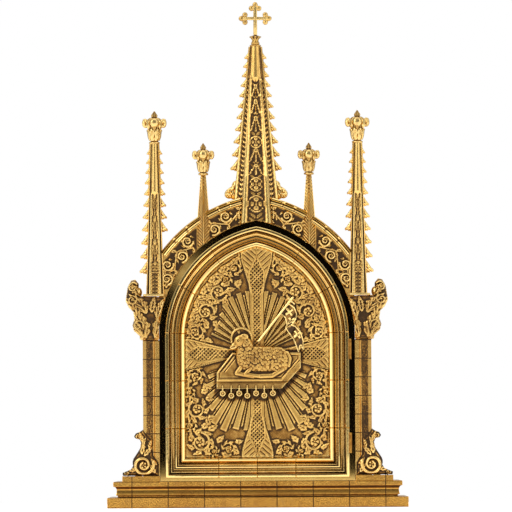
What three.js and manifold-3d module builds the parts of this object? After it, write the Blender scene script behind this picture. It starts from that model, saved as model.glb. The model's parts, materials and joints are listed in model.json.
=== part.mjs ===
// Altar tabernacle: a Gothic brass cabinet with a hinged arched door between pinnacled piers,
// under a crocketed spire with a cross. Millimetres, +Z up, the front faces -Y, and the origin
// is the middle of the base's underside.

import * as THREE from "three";
import { mergeVertices } from "three/addons/utils/BufferGeometryUtils.js";
import Module from "manifold-3d";

const wasm = await Module();
wasm.setup();

// Clearances
const seat = 0.3; // left between castings that are fitted to each other
const hingeGap = 0.5; // between hinge barrel and door edge

// Base
const slabWidth = 600;
const slabDepth = 400;
const slabHeight = 21;
const plinthInset = 12; // slab edge to plinth lip
const plinthHeight = 32;
const apronDepth = 4; // the part of the lip below the door stands this far forward

// Door leaf and its arch
const doorWidth = 366;
const doorStraight = 280; // height of the straight jambs
const archRise = 220;
const sillHeight = 7; // plinth top to the underside of the door
const frameWidth = 41;
const frameDepth = 18;
const panelThickness = 7.7;

// Cabinet and front
const frontSetback = 28; // plinth lip to the front plate
const frontThickness = 4;
const cabinetDepth = 336;
const wall = 6;
const surroundWidth = 12; // polished band seen round the door
const surroundThickness = 8;
const surroundBevel = 3;
const doorLap = 15; // the door overlaps the doorway by this much
const gableReach = 64; // door outline to the gable's outer edge
const gableMouldingWidth = 15;
const gableMouldingDepth = 9;

// Piers, brackets and capitals
const pierWidth = 32.7;
const pierDepth = 34;
const pierProjection = 16; // in front of the front plate
const footLength = 42; // foot block beyond the pier
const footHeight = 11;
const bracketHeight = 93;
const bracketProjection = 19;
const capitalHeight = 88;
const capitalDrop = 5; // capital starts this far below the springing
const abacusHalf = 24;
const abacusThickness = 4;

// Outer pinnacles
const pinnacleHeight = 300;
const pinnacleFoot = 17.3; // half width
const pinnacleTip = 7.8;
const pinnacleInset = 9; // pinnacle axis towards the middle from the pier's axis
const pinnacleCrockets = 11;
const crocketSmall = 4.6; // reach of the topmost crocket
const crocketGrowth = 6.2; // the lowest one reaches this much further

// Inner pinnacles
const smallPinnacleX = 105.4;
const smallPinnacleTop = 324; // springing to the shaft's top
const smallPinnacleFoot = 14.6;
const smallPinnacleTip = 4.4;

// Finials
const finialHeight = 66;
const finialReach = 25.2;
const smallFinialHeight = 64;
const smallFinialReach = 22.8;

// Spire and cross
const spireTop = 582; // springing to the top of the shaft
const spireFoot = 46.5; // half width at the surround's apex
const spireTip = 10.9;
const spireSetback = 12; // front plate to the spire's front face at its foot, forward
const spireCrockets = 11;
const spireCrocketSmall = 6.2;
const spireCrocketGrowth = 5;
const shoulderLeafX = 55; // leaf balls at the foot of the spire
const shoulderLeafRadius = 10;
const crownHeight = 23;
const crossHeight = 67.5;
const crossSpan = 66.6;
const crossThickness = 7;

// Lift-off hinges: a fixed pintle below and the door's gudgeon above it, at two heights
const hingeRadius = 2.3;
const pinRadius = 1.2;
const pinClearance = 0.3;
const knuckleLength = 20;
const lowerHingeAbove = 48; // from the door's bottom edge to the lower hinge's foot
const upperHingeBelow = 45; // from the springing down to the upper hinge's foot

// Colours
const antiqueBrass = new THREE.MeshStandardMaterial({ color: 0xb98a3e, roughness: 0.42, metalness: 1 });
const polishedBrass = new THREE.MeshStandardMaterial({ color: 0xe0b25a, roughness: 0.12, metalness: 1 });
const satinBrass = new THREE.MeshStandardMaterial({ color: 0xc08d3c, roughness: 0.35, metalness: 1 });

// Levels and planes that follow from the sizes above
const plinthTop = slabHeight + plinthHeight;
const lipFront = -(slabDepth / 2 - plinthInset);
const frontPlane = lipFront + frontSetback;
const doorBottom = plinthTop + sillHeight;
const springing = doorBottom + doorStraight;
const doorHalf = doorWidth / 2;
const archRadius = (doorHalf ** 2 + archRise ** 2) / (2 * doorHalf);
const archOffset = archRadius - doorHalf; // each arc's centre lies this far past the middle
const cabinetHalf = doorHalf + surroundWidth;
const cabinetBack = frontPlane + frontThickness + cabinetDepth;
const surroundFront = frontPlane - seat - surroundThickness;
const doorBack = surroundFront - seat;
const doorFront = doorBack - frameDepth;
const pierInner = cabinetHalf + seat;
const pierOuter = pierInner + pierWidth;
const pierFront = frontPlane - pierProjection;
const footTop = plinthTop + footHeight;
const capitalBottom = springing - capitalDrop;
const abacusBottom = capitalBottom + capitalHeight;
const pinnacleBottom = abacusBottom + abacusThickness;
const pinnacleX = (pierInner + pierOuter) / 2 - pinnacleInset;
const pinnacleY = pierFront + abacusHalf - 3;

const ARC_STEPS = 8;

// Solids

// A closed geometry as a solid that can be joined and cut.
function solid(geometry) {
  const loose = geometry.index ? geometry.toNonIndexed() : geometry;
  const bare = new THREE.BufferGeometry();
  bare.setAttribute("position", loose.getAttribute("position"));
  const merged = mergeVertices(bare, 1e-4);
  const made = new wasm.Manifold(
    new wasm.Mesh({
      numProp: 3,
      vertProperties: new Float32Array(merged.attributes.position.array),
      triVerts: new Uint32Array(merged.index.array),
    }),
  );
  return made;
}

function join(parts) {
  return parts.reduce((whole, part) => whole.add(part));
}

function meshOf(name, made, material) {
  const data = made.getMesh();
  const geometry = new THREE.BufferGeometry();
  geometry.setAttribute("position", new THREE.BufferAttribute(new Float32Array(data.vertProperties), 3));
  geometry.setIndex(new THREE.BufferAttribute(new Uint32Array(data.triVerts), 1));
  const faceted = geometry.toNonIndexed();
  faceted.computeVertexNormals();
  const mesh = new THREE.Mesh(faceted, material);
  mesh.name = name;
  return mesh;
}

// A geometry from points and triangles, turned inside out if its faces point inwards.
function closedGeometry(points, triangles) {
  let volume = 0;
  for (const [a, b, c] of triangles) {
    const cross = new THREE.Vector3().crossVectors(points[b], points[c]);
    volume += points[a].dot(cross);
  }
  const index = triangles.flatMap(([a, b, c]) => (volume > 0 ? [a, b, c] : [a, c, b]));
  const geometry = new THREE.BufferGeometry().setFromPoints(points);
  geometry.setIndex(index);
  return geometry;
}

// Rings of equally many points joined into a closed body, its two ends capped flat.
function loft(rings) {
  const n = rings[0].length;
  const points = rings.flat().map(([x, y, z]) => new THREE.Vector3(x, y, z));
  const triangles = [];
  for (let r = 0; r + 1 < rings.length; r++)
    for (let i = 0; i < n; i++) {
      const a = r * n + i;
      const b = r * n + ((i + 1) % n);
      triangles.push([a, b, b + n], [a, b + n, a + n]);
    }
  const last = (rings.length - 1) * n;
  for (let i = 1; i + 1 < n; i++) triangles.push([0, i + 1, i], [last, last + i, last + i + 1]);
  return solid(closedGeometry(points, triangles));
}

// Rings joined in a closed loop, as for a frame that runs all the way round.
function loopLoft(rings) {
  const n = rings[0].length;
  const points = rings.flat().map(([x, y, z]) => new THREE.Vector3(x, y, z));
  const triangles = [];
  rings.forEach((_, r) => {
    const next = (r + 1) % rings.length;
    for (let i = 0; i < n; i++) {
      const j = (i + 1) % n;
      triangles.push([r * n + i, r * n + j, next * n + j], [r * n + i, next * n + j, next * n + i]);
    }
  });
  return solid(closedGeometry(points, triangles));
}

function box(x0, x1, y0, y1, z0, z1) {
  const geometry = new THREE.BoxGeometry(x1 - x0, y1 - y0, z1 - z0);
  geometry.translate((x0 + x1) / 2, (y0 + y1) / 2, (z0 + z1) / 2);
  return solid(geometry);
}

// A box on the right (side 1) or mirrored on the left (side -1).
function sideBox(side, u0, u1, y0, y1, z0, z1) {
  return side > 0 ? box(u0, u1, y0, y1, z0, z1) : box(-u1, -u0, y0, y1, z0, z1);
}

// An upright plate with an outline of [x, z] points, from the plane y = back forward by depth.
function plate(outline, back, depth, hole) {
  const shape = new THREE.Shape(outline.map(([x, z]) => new THREE.Vector2(x, z)));
  if (hole) shape.holes.push(new THREE.Path(hole.map(([x, z]) => new THREE.Vector2(x, z))));
  const geometry = new THREE.ExtrudeGeometry(shape, { depth, bevelEnabled: false, curveSegments: 1 });
  geometry.rotateX(Math.PI / 2);
  geometry.translate(0, back, 0);
  return solid(geometry);
}

// A tapering stalk, leaf or curl that follows [x, y, z] points. Its section has a half width
// across the relief and a half depth out of it at each point.
function stalk(path, widths, depths, sides = 5, across = new THREE.Vector3(0, 1, 0)) {
  const points = path.map(([x, y, z]) => new THREE.Vector3(x, y, z));
  const rings = points.map((p, k) => {
    const before = points[Math.max(0, k - 1)];
    const after = points[Math.min(points.length - 1, k + 1)];
    const along = new THREE.Vector3().subVectors(after, before).normalize();
    const wide = new THREE.Vector3().crossVectors(along, across).normalize();
    const deep = new THREE.Vector3().crossVectors(wide, along).normalize();
    return Array.from({ length: sides }, (_, i) => {
      const turn = (2 * Math.PI * (i + 0.5)) / sides;
      const q = p.clone();
      q.addScaledVector(wide, widths[k] * Math.cos(turn));
      q.addScaledVector(deep, depths[k] * Math.sin(turn));
      return q.toArray();
    });
  });
  return loft(rings);
}

// A body turned round a vertical axis at (x, y), from [radius, height] points.
function turned(profile, x, y, bottom, segments = 8) {
  const points = [
    new THREE.Vector2(0, profile[0][1]),
    ...profile.map(([r, h]) => new THREE.Vector2(r, h)),
    new THREE.Vector2(0, profile.at(-1)[1]),
  ];
  const geometry = new THREE.LatheGeometry(points, segments, Math.PI / segments);
  geometry.rotateX(Math.PI / 2);
  geometry.translate(x, y, bottom);
  return solid(geometry);
}

// A ring of eight points: a square of half width h whose corners are cut off.
function chamferedSquare(x, y, z, h, cut = 0.58) {
  const k = h * cut;
  const corners = [[h, -k], [h, k], [k, h], [-k, h], [-h, k], [-h, -k], [-k, -h], [k, -h]];
  return corners.map(([dx, dy]) => [x + dx, y + dy, z]);
}

// Outlines

// Points along the right-hand arc of the door's arch, moved outwards by reach, from the
// half width at which it starts up to the apex.
function arcPoints(reach, startHalf, steps = ARC_STEPS) {
  const radius = archRadius + reach;
  const from = Math.acos(Math.min(1, (startHalf + archOffset) / radius));
  const to = Math.acos(archOffset / radius);
  return Array.from({ length: steps + 1 }, (_, i) => {
    const angle = from + ((to - from) * i) / steps;
    return [radius * Math.cos(angle) - archOffset, springing + radius * Math.sin(angle)];
  });
}

// The closed outline of the door's arch, moved outwards by reach, standing on a level bottom.
function archOutline(reach, bottom = doorBottom - reach) {
  const half = doorHalf + reach;
  const right = arcPoints(reach, half);
  const left = right.slice(0, -1).reverse().map(([x, z]) => [-x, z]);
  return [[-half, bottom], [half, bottom], ...right, ...left];
}

// The cabinet's outline: upright sides, then the gable's arcs.
function gableOutline(grow = 0, bottom = plinthTop) {
  const half = cabinetHalf + grow;
  const right = arcPoints(gableReach + grow, half);
  const left = right.slice(0, -1).reverse().map(([x, z]) => [-x, z]);
  return [[-half, bottom], [half, bottom], ...right, ...left];
}

// What stands in front of the gable is cut back by these two.
const cabinetVolume = plate(gableOutline(seat), cabinetBack, cabinetBack - frontPlane + seat);
const surroundVolume = plate(
  archOutline(surroundWidth + seat, plinthTop), cabinetBack, cabinetBack - lipFront,
);

function fitToFront(made) {
  return made.subtract(cabinetVolume).subtract(surroundVolume);
}

// Base

function baseSlab() {
  return box(-slabWidth / 2, slabWidth / 2, -slabDepth / 2, slabDepth / 2, 0, slabHeight);
}

function plinth() {
  // Height share and how far the profile lies behind the lip: toe, cove, then the lip.
  const profile = [[0, 9], [0.12, 9], [0.16, 5], [0.3, 6.5], [0.5, 7], [0.66, 4.5], [0.7, 0], [0.96, 0], [1, 1.2]];
  const rings = profile.map(([share, back]) => {
    const hx = slabWidth / 2 - plinthInset - back;
    const hy = slabDepth / 2 - plinthInset - back;
    const z = slabHeight + share * plinthHeight;
    return [[hx, -hy, z], [hx, hy, z], [-hx, hy, z], [-hx, -hy, z]];
  });
  const lipBottom = slabHeight + 0.7 * plinthHeight;
  const apron = box(-cabinetHalf, cabinetHalf, lipFront - apronDepth, lipFront + plinthInset, lipBottom, plinthTop);
  return loft(rings).add(apron);
}

function footBlock(side) {
  return sideBox(side, pierInner, pierOuter + footLength, lipFront + 4, lipFront + 54, plinthTop, footTop);
}

// Cabinet

function cabinetFloor() {
  const inner = cabinetHalf - wall;
  return box(-inner, inner, frontPlane + frontThickness, cabinetBack - wall, plinthTop, plinthTop + wall);
}

function roofStart() {
  return arcPoints(gableReach, cabinetHalf)[0][1];
}

function cabinetSide(side) {
  return sideBox(
    side, cabinetHalf - wall, cabinetHalf, frontPlane + frontThickness, cabinetBack - wall,
    plinthTop, roofStart() - wall,
  );
}

function cabinetRoof() {
  const outer = arcPoints(gableReach, cabinetHalf);
  const inner = arcPoints(gableReach - wall, cabinetHalf - wall);
  const foot = roofStart() - wall;
  const right = [[cabinetHalf, foot + seat], ...outer];
  const under = [[cabinetHalf - wall, foot + seat], ...inner];
  const flip = (points) => points.map(([x, z]) => [-x, z]);
  const outline = [...right, ...flip(right.slice(0, -1)).reverse(), ...flip(under), ...under.slice(0, -1).reverse()];
  return plate(outline, cabinetBack - wall, cabinetDepth - wall);
}

function cabinetEnd(back, thickness, doorway) {
  return plate(gableOutline(), back, thickness, doorway);
}

// Surround: a flat ring under the door's edge and a bevelled band outside it.
function doorSurround() {
  const sillShare = (sillHeight - seat) / surroundWidth;
  const ring = (reach, y) => {
    const bottom = reach > 0 ? doorBottom - reach * sillShare : doorBottom - reach;
    return archOutline(reach, bottom).map(([x, z]) => [x, y, z]);
  };
  const back = frontPlane - seat;
  return loopLoft([
    ring(-doorLap, back),
    ring(-doorLap, surroundFront),
    ring(0, surroundFront),
    ring(surroundWidth, surroundFront + surroundBevel),
    ring(surroundWidth, back),
  ]);
}

// Gable mouldings: a lower run from the outer pinnacle to the small one, and an upper run from
// there to the spire.
function gableMoulding(side, lower) {
  const from = lower ? cabinetHalf : smallPinnacleX;
  const to = lower ? smallPinnacleX + smallPinnacleTip : spireFoot - 10;
  const profile = [[0, 0], [0, 0.8], [0.2, 1], [0.5, 0.45], [0.8, 0.75], [1, 0.75], [1, 0]];
  const steps = 4;
  const rings = Array.from({ length: steps + 1 }, (_, i) => {
    const x = from + ((to - from) * i) / steps;
    const angle = Math.acos((x + archOffset) / (archRadius + gableReach));
    return profile.map(([inwards, height]) => {
      const radius = archRadius + gableReach - inwards * gableMouldingWidth;
      return [
        side * (radius * Math.cos(angle) - archOffset),
        frontPlane - seat - height * gableMouldingDepth,
        springing + radius * Math.sin(angle),
      ];
    });
  });
  const neighbours = [outerPinnacleShaft(side, 2 * seat), smallPinnacleShaft(side, 2 * seat), spireShaft(2 * seat)];
  return neighbours.reduce((made, shaft) => made.subtract(shaft), capLoft(rings));
}

// As loft, for a section that isn't convex.
function capLoft(rings) {
  const n = rings[0].length;
  const points = rings.flat().map(([x, y, z]) => new THREE.Vector3(x, y, z));
  const triangles = [];
  for (let r = 0; r + 1 < rings.length; r++)
    for (let i = 0; i < n; i++) {
      const a = r * n + i;
      const b = r * n + ((i + 1) % n);
      triangles.push([a, b, b + n], [a, b + n, a + n]);
    }
  const capOf = (ring) => {
    const [x0, , z0] = ring[0];
    const flat = ring.map(([x, y, z]) => new THREE.Vector2(Math.hypot(x - x0, z - z0), y));
    return THREE.ShapeUtils.triangulateShape(flat, []);
  };
  const last = (rings.length - 1) * n;
  for (const [a, b, c] of capOf(rings[0])) triangles.push(orient(rings, 0, a, b, c, true));
  for (const [a, b, c] of capOf(rings.at(-1))) triangles.push(orient(rings, last, a, b, c, false));
  return solid(closedGeometry(points, triangles));
}

// Cap triangles wound to agree with the side faces at either end.
function orient(rings, offset, a, b, c, first) {
  const rising = a < b ? b < c || c < a : b < c && c < a;
  const forward = first ? !rising : rising;
  return forward ? [offset + a, offset + b, offset + c] : [offset + a, offset + c, offset + b];
}

// Foliage laid on a flat ground: a ridge of triangular section along [x, z] points, its foot
// sunk a little into the plane y = ground.
function ridge(path, widths, heights, ground) {
  const sunk = 0.4;
  const rings = path.map(([x, z], k) => {
    const [x0, z0] = path[Math.max(0, k - 1)];
    const [x1, z1] = path[Math.min(path.length - 1, k + 1)];
    const length = Math.hypot(x1 - x0, z1 - z0);
    const acrossX = (-(z1 - z0) / length) * widths[k];
    const acrossZ = ((x1 - x0) / length) * widths[k];
    return [
      [x + acrossX, ground + sunk, z + acrossZ],
      [x, ground - heights[k], z],
      [x - acrossX, ground + sunk, z - acrossZ],
    ];
  });
  return loft(rings);
}

// Points of a spiral that winds inwards, anticlockwise seen from the front when turns is positive.
function spiral(cx, cz, radius, start, turns, steps) {
  return Array.from({ length: steps + 1 }, (_, i) => {
    const t = i / steps;
    const r = radius * (1 - 0.78 * t);
    const angle = start + 2 * Math.PI * turns * t;
    return [cx + r * Math.cos(angle), cz + r * Math.sin(angle)];
  });
}

function curl(cx, cz, radius, ground, start, turns, thickness, steps = 7) {
  const path = spiral(cx, cz, radius, start, turns, steps);
  const widths = path.map((_, i) => thickness * (1 - (0.35 * i) / steps));
  return ridge(path, widths, widths.map((w) => 1.5 * w), ground);
}

// One pointed leaf from a root, in a direction (radians from +X towards +Z).
function leaf(x, z, ground, direction, length, width) {
  const along = (t) => [x + length * t * Math.cos(direction), z + length * t * Math.sin(direction)];
  return ridge([along(0), along(0.45), along(1)], [width * 0.3, width, width * 0.1], [0.4, width, 0.2], ground);
}

// The spandrel's foliage keeps to a band of the gable between two angles of its arcs.
function spandrel(side, lower) {
  const inner = surroundWidth + 2 * seat;
  const outer = gableReach - gableMouldingWidth - seat;
  const startHalf = lower ? cabinetHalf - seat : smallPinnacleX - seat;
  const endHalf = lower ? smallPinnacleX + seat : spireFoot - 16;
  const angleAt = (x, reach) => Math.acos(Math.min(1, (x + archOffset) / (archRadius + reach)));
  const mid = (inner + outer) / 2;
  const from = lower ? angleAt(cabinetHalf + 6, mid + 18) : angleAt(startHalf, mid);
  const to = angleAt(endHalf, mid);
  const at = (share, reach) => {
    const angle = from + (to - from) * share;
    const radius = archRadius + reach;
    return [side * (radius * Math.cos(angle) - archOffset), springing + radius * Math.sin(angle)];
  };
  const steps = 6;
  const edge = (reach, back) => {
    const shares = Array.from({ length: steps + 1 }, (_, i) => -0.12 + (1.24 * i) / steps);
    return (back ? shares.reverse() : shares).map((share) => at(share, reach));
  };
  const ground = frontPlane - seat;
  const outline = [...edge(inner, false), ...edge(outer, true)];
  const sheet = plate(outline, ground, 2);
  const half = (outer - inner) / 2;
  const face = ground - 2;
  const parts = [sheet];
  const curls = lower ? [[0.3, 0.36, 0.2], [0.52, 0.44, -0.1], [0.8, 0.36, 0.25]] : [[0.25, 0.36, -0.2], [0.66, 0.42, 0.15]];
  curls.forEach(([share, size, lift], k) => {
    const [x, z] = at(share, mid + lift * half);
    const radius = 2 * half * size;
    const turn = side * (k % 2 ? -1.2 : 1.2);
    parts.push(curl(x, z, radius, face, side > 0 ? 0.4 : Math.PI - 0.4, turn, 2.8, 5));
    parts.push(leaf(x, z, face, side > 0 ? 2.2 + k : Math.PI - 2.2 - k, radius * 1.1, radius * 0.3));
  });
  const whole = join(parts);
  const kept = plate(outline, ground + 1, 12);
  const cutBy = [smallPinnacleShaft(side, 2 * seat), outerPinnacleShaft(side, 2 * seat), spireShaft(2 * seat)];
  const cap = sideBox(side, 0, 2 * pierOuter, 2 * lipFront, 0, 0, pinnacleBottom + seat);
  const near = lower ? smallPinnacleX : spireFoot - 20;
  const far = lower ? cabinetHalf : smallPinnacleX;
  const span = sideBox(side, near, far, frontPlane - 12, frontPlane, springing, 2 * springing);
  return cutBy.reduce((made, cutter) => made.subtract(cutter), whole.intersect(kept)).subtract(cap).intersect(span);
}

// Piers: a faceted shaft with a flat strip towards the door.
function pier(side) {
  const back = pierFront + pierDepth;
  const strip = pierWidth * 0.27;
  const chamfer = pierWidth * 0.21;
  const plan = [
    [pierInner, back], [pierInner, pierFront + 6], [pierInner + strip, pierFront + 6],
    [pierInner + strip, pierFront + 4], [pierInner + strip + 2, pierFront],
    [pierOuter - chamfer, pierFront], [pierOuter, pierFront + chamfer], [pierOuter, back],
  ];
  const ring = (z) => plan.map(([u, y]) => [side * u, y, z]);
  const shape = new THREE.Shape(plan.map(([u, y]) => new THREE.Vector2(side * u, y)));
  const geometry = new THREE.ExtrudeGeometry(shape, { depth: capitalBottom - footTop, bevelEnabled: false });
  geometry.translate(0, 0, ring(footTop)[0][2]);
  return solid(geometry);
}

// Scroll brackets: points are shares of the bracket's height, out from the pier and up.
function scrollBracket(side) {
  const h = bracketHeight;
  const u = (share) => pierOuter + share * h;
  const z = (share) => footTop + share * h;
  const inner = (pierInner + 2 * seat - pierOuter) / h;
  const outline = [
    [inner, 0], [0.44, 0], [0.44, 0.075], [0.27, 0.14], [0.225, 0.22], [0.23, 0.31], [0.21, 0.38], [0.09, 0.56],
    [0.05, 0.71], [0.08, 0.78], [0.19, 0.835], [0.14, 0.91], [0.06, 0.95], [0, 1], [-0.13, 0.83], [-0.22, 0.77],
    [-0.21, 0.6], [-0.22, 0.45], [-0.29, 0.35], [inner, 0.26],
  ].map(([a, b]) => [side * u(a), z(b)]);
  const front = frontPlane - bracketProjection;
  const body = plate(outline, front + bracketProjection + 4, bracketProjection + 4);
  const face = front;
  const parts = [body];
  const winding = side > 0 ? Math.PI * 0.9 : Math.PI * 0.1;
  parts.push(curl(side * u(-0.01), z(0.235), h * 0.225, face, winding, side * 1.35, h * 0.028, 10));
  const leaves = [[-0.02, 0.42, 2.4, 0.3], [0.02, 0.5, 1.9, 0.34], [0.03, 0.62, 2.1, 0.28], [0.06, 0.72, 0.9, 0.18], [0.2, 0.05, 0.3, 0.22]];
  for (const [a, b, direction, length] of leaves) {
    const turn = side > 0 ? direction : Math.PI - direction;
    parts.push(leaf(side * u(a), z(b), face, turn, length * h, h * 0.045));
  }
  const reach = sideBox(side, pierInner + seat, pierOuter + 0.5 * h, lipFront, cabinetBack, footTop, 2 * springing);
  return join(parts).intersect(reach).subtract(pierClearance(side));
}

// The pier's own space with its clearance, which brackets and capitals are cut back from.
function pierClearance(side) {
  return sideBox(side, pierInner - seat, pierOuter + seat, pierFront - seat, pierFront + pierDepth + seat, footTop - 1, capitalBottom + seat);
}

// Capitals: leafy castings whose outline is given as distances out from the pier's middle and
// up from the capital's foot. A core as deep as the pier carries a thinner layer of curled leaves.
const capitalCore = [
  [-14, 0], [16, 0], [20, 14], [25, 32], [24, 50], [29, 66], [32, 84], [-32, 84], [-29, 70], [-22, 44], [-15, 16],
];
const capitalLeaves = [
  [-12, 2], [16, 2], [24, 9], [34, 18], [37, 30], [33, 42], [35, 56], [44, 65], [50, 77], [49, 88], [46, 106],
  [39, 119], [30, 121], [23, 112], [24, 98], [-31, 86], [-29, 70], [-20, 40],
];
// Curled leaf ends: distance out, height, radius.
const capitalCurls = [[36, 105, 12.5], [37, 78, 12], [25, 29, 11]];
const capitalStems = [[-6, 8, 1.5, 66, 7], [8, 4, 1.25, 44, 6], [-14, 36, 1.9, 40, 6], [12, 44, 1.1, 36, 6]];

function capital(side) {
  const mid = (pierInner + pierOuter) / 2;
  const outlineAt = (points) => points.map(([a, b]) => [side * (mid + a), capitalBottom + seat + b]);
  const leafFront = pierFront - 4;
  const leafDepth = pierDepth * 0.8;
  const parts = [
    plate(outlineAt(capitalCore), pierFront + pierDepth, pierDepth),
    plate(outlineAt(capitalLeaves), leafFront + leafDepth, leafDepth),
    sideBox(
      side, pinnacleX - abacusHalf, pinnacleX + abacusHalf, pinnacleY - abacusHalf, pinnacleY + abacusHalf,
      abacusBottom, pinnacleBottom,
    ),
  ];
  capitalCurls.forEach(([a, b, radius], k) => {
    const start = side > 0 ? 2.6 : Math.PI - 2.6;
    const turns = side * (k === 1 ? 1.2 : -1.2);
    parts.push(curl(side * (mid + a), capitalBottom + b, radius, leafFront, start, turns, radius * 0.27, 5));
  });
  for (const [a, b, direction, length, width] of capitalStems) {
    const turn = side > 0 ? direction : Math.PI - direction;
    parts.push(leaf(side * (mid + a), capitalBottom + b, leafFront, turn, length, width));
  }
  const pinnacleSeat = outerPinnacleShaft(side, seat).intersect(
    sideBox(side, 0, 2 * pierOuter, 2 * lipFront, cabinetBack, pinnacleBottom, 3 * springing),
  );
  return fitToFront(join(parts)).subtract(pinnacleSeat).subtract(pierClearance(side));
}

// Crockets: small hooked buds out of a shaft's side, which stand out by reach. The bud's
// underside meets the shaft at (x, y, z), and out is 1 towards the right.
function crocket(x, y, z, out, reach) {
  const path = [[-0.4, 0.85], [0.42, 0.66], [0.76, -0.02]];
  return stalk(
    path.map(([a, b]) => [x + out * a * reach, y, z + b * reach]),
    [0.26 * reach, 0.4 * reach, 0.24 * reach],
    [0.4 * reach, 0.58 * reach, 0.36 * reach],
    3,
  );
}

// Heights for a row of crockets whose spacing widens downwards, from just under the top.
function crocketHeights(top, bottom, count) {
  const growth = 1.05;
  let weight = 0;
  const sums = [];
  for (let k = 0; k < count; k++) {
    sums.push(weight);
    weight += growth ** k;
  }
  return sums.map((sum) => top - ((top - bottom) * sum) / weight);
}

function outerPinnacleShaft(side, grow = 0) {
  const x = side * pinnacleX;
  return loft([
    chamferedSquare(x, pinnacleY, pinnacleBottom - (grow ? 2 * abacusThickness : 0), pinnacleFoot + grow, 0.7),
    chamferedSquare(x, pinnacleY, pinnacleBottom + pinnacleHeight, pinnacleTip + grow, 0.6),
  ]);
}

function pinnacle(side) {
  const top = pinnacleBottom + pinnacleHeight;
  const halfAt = (z) => pinnacleFoot + ((pinnacleTip - pinnacleFoot) * (z - pinnacleBottom)) / pinnacleHeight;
  const nearGable = pinnacleX - pinnacleFoot - crocketGrowth + archOffset;
  const gableTop = springing + Math.sqrt((archRadius + gableReach) ** 2 - nearGable ** 2);
  const parts = [outerPinnacleShaft(side)];
  crocketHeights(top - 20, pinnacleBottom + 14, pinnacleCrockets).forEach((z, k) => {
    const reach = crocketSmall + (crocketGrowth * k) / (pinnacleCrockets - 1);
    for (const out of [1, -1]) {
      const hidden = out !== side && z < gableTop + reach;
      if (!hidden) parts.push(crocket(side * pinnacleX + out * halfAt(z), pinnacleY, z, out, reach));
    }
  });
  return join(parts).subtract(cabinetVolume);
}

// Small inner pinnacles: square shafts set cornerwise.
function smallPinnacleShaft(side, grow = 0) {
  const bottom = springing;
  const top = springing + smallPinnacleTop;
  const ring = (z, half) => {
    const x = side * smallPinnacleX;
    const y = frontPlane - 1;
    return [[x + half, y, z], [x, y + half, z], [x - half, y, z], [x, y - half, z]];
  };
  const grown = grow * Math.SQRT2;
  return loft([
    ring(bottom, smallPinnacleFoot * 1.15 + grown), ring(springing + archRise, smallPinnacleFoot * 0.9 + grown),
    ring(top, smallPinnacleTip + grown),
  ]);
}

function smallPinnacle(side) {
  return fitToFront(smallPinnacleShaft(side));
}

// Finials: a collar, a leaf cup with four heavy curls and a bud.
function finial(x, y, bottom, height, reach) {
  const profile = [
    [0.42, 0], [0.42, 0.05], [0.3, 0.09], [0.44, 0.3], [0.62, 0.7], [0.2, 0.8], [0.24, 0.87], [0.04, 1],
  ].map(([r, h]) => [r * reach, h * height]);
  const parts = [turned(profile, x, y, bottom, 6)];
  for (let i = 0; i < 4; i++) {
    const turn = (i * Math.PI) / 2;
    const [c, s] = [Math.cos(turn), Math.sin(turn)];
    const path = [[0.32, 0.5], [0.7, 0.72], [0.86, 0.58]];
    parts.push(stalk(
      path.map(([r, h]) => [x + c * r * reach, y + s * r * reach, bottom + h * height]),
      [0.14, 0.26, 0.16].map((w) => w * reach),
      [0.1, 0.16, 0.12].map((w) => w * reach),
      4,
      new THREE.Vector3(-s, c, 0),
    ));
  }
  return join(parts);
}

// Spire

const spireBottom = springing + 0.7 * archRise;
const spireTopZ = springing + spireTop;
const spireY = frontPlane - spireSetback + spireFoot;
const surroundApex = springing + Math.sqrt((archRadius + surroundWidth) ** 2 - archOffset ** 2);

function spireHalf(z) {
  return spireFoot + ((spireTip - spireFoot) * (z - surroundApex)) / (spireTopZ - surroundApex);
}

function spireShaft(grow = 0) {
  const ring = (z) => chamferedSquare(0, spireY, z, spireHalf(z) + grow);
  return loft([ring(spireBottom), ring(spireTopZ)]);
}

function spire() {
  const parts = [spireShaft()];
  crocketHeights(spireTopZ - 22, surroundApex + 78, spireCrockets).forEach((z, k) => {
    const reach = spireCrocketSmall + (spireCrocketGrowth * k) / (spireCrockets - 1);
    for (const out of [1, -1]) parts.push(crocket(out * spireHalf(z), spireY, z, out, reach));
  });
  const shoulder = surroundApex + 56;
  for (const out of [1, -1]) {
    const turnIn = spiral(out * shoulderLeafX, shoulder, shoulderLeafRadius, out > 0 ? 2.4 : 0.74, -out * 1.05, 5);
    const path = [[out * (spireHalf(shoulder) - 3), shoulder + 2 * shoulderLeafRadius], ...turnIn];
    const widths = path.map((_, k) => (k ? 4 : 3));
    parts.push(stalk(path.map(([px, pz]) => [px, spireY, pz]), widths, path.map(() => 7), 4));
  }
  for (const out of [1, -1]) {
    const edge = (z) => [out * spireHalf(z) * 0.58, spireY - spireHalf(z), z];
    parts.push(stalk([edge(spireBottom + 1), edge(spireTopZ - 1)], [2.6, 1.2], [2.2, 1], 4));
  }
  // A chain of bosses up the middle of the front face, smaller towards the top.
  let z = surroundApex + 30;
  while (z < spireTopZ - 30) {
    const size = spireHalf(z) * 0.3;
    const at = (lift) => [0, spireY - spireHalf(z + lift) + 0.6, z + lift];
    parts.push(stalk([at(-size * 1.3), at(0), at(size * 1.3)], [0.6, size, 0.6], [0.4, 2.8, 0.4], 4));
    z += size * 3.6;
  }
  return fitToFront(join(parts));
}

function spireCrown() {
  const profile = [[1.05, 0], [1.1, 0.12], [0.85, 0.2], [0.95, 0.4], [0.7, 0.55], [0.72, 0.75], [1, 0.9], [0.5, 1]];
  return turned(profile.map(([r, h]) => [r * spireTip, h * crownHeight]), 0, spireY, spireTopZ, 8);
}

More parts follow.
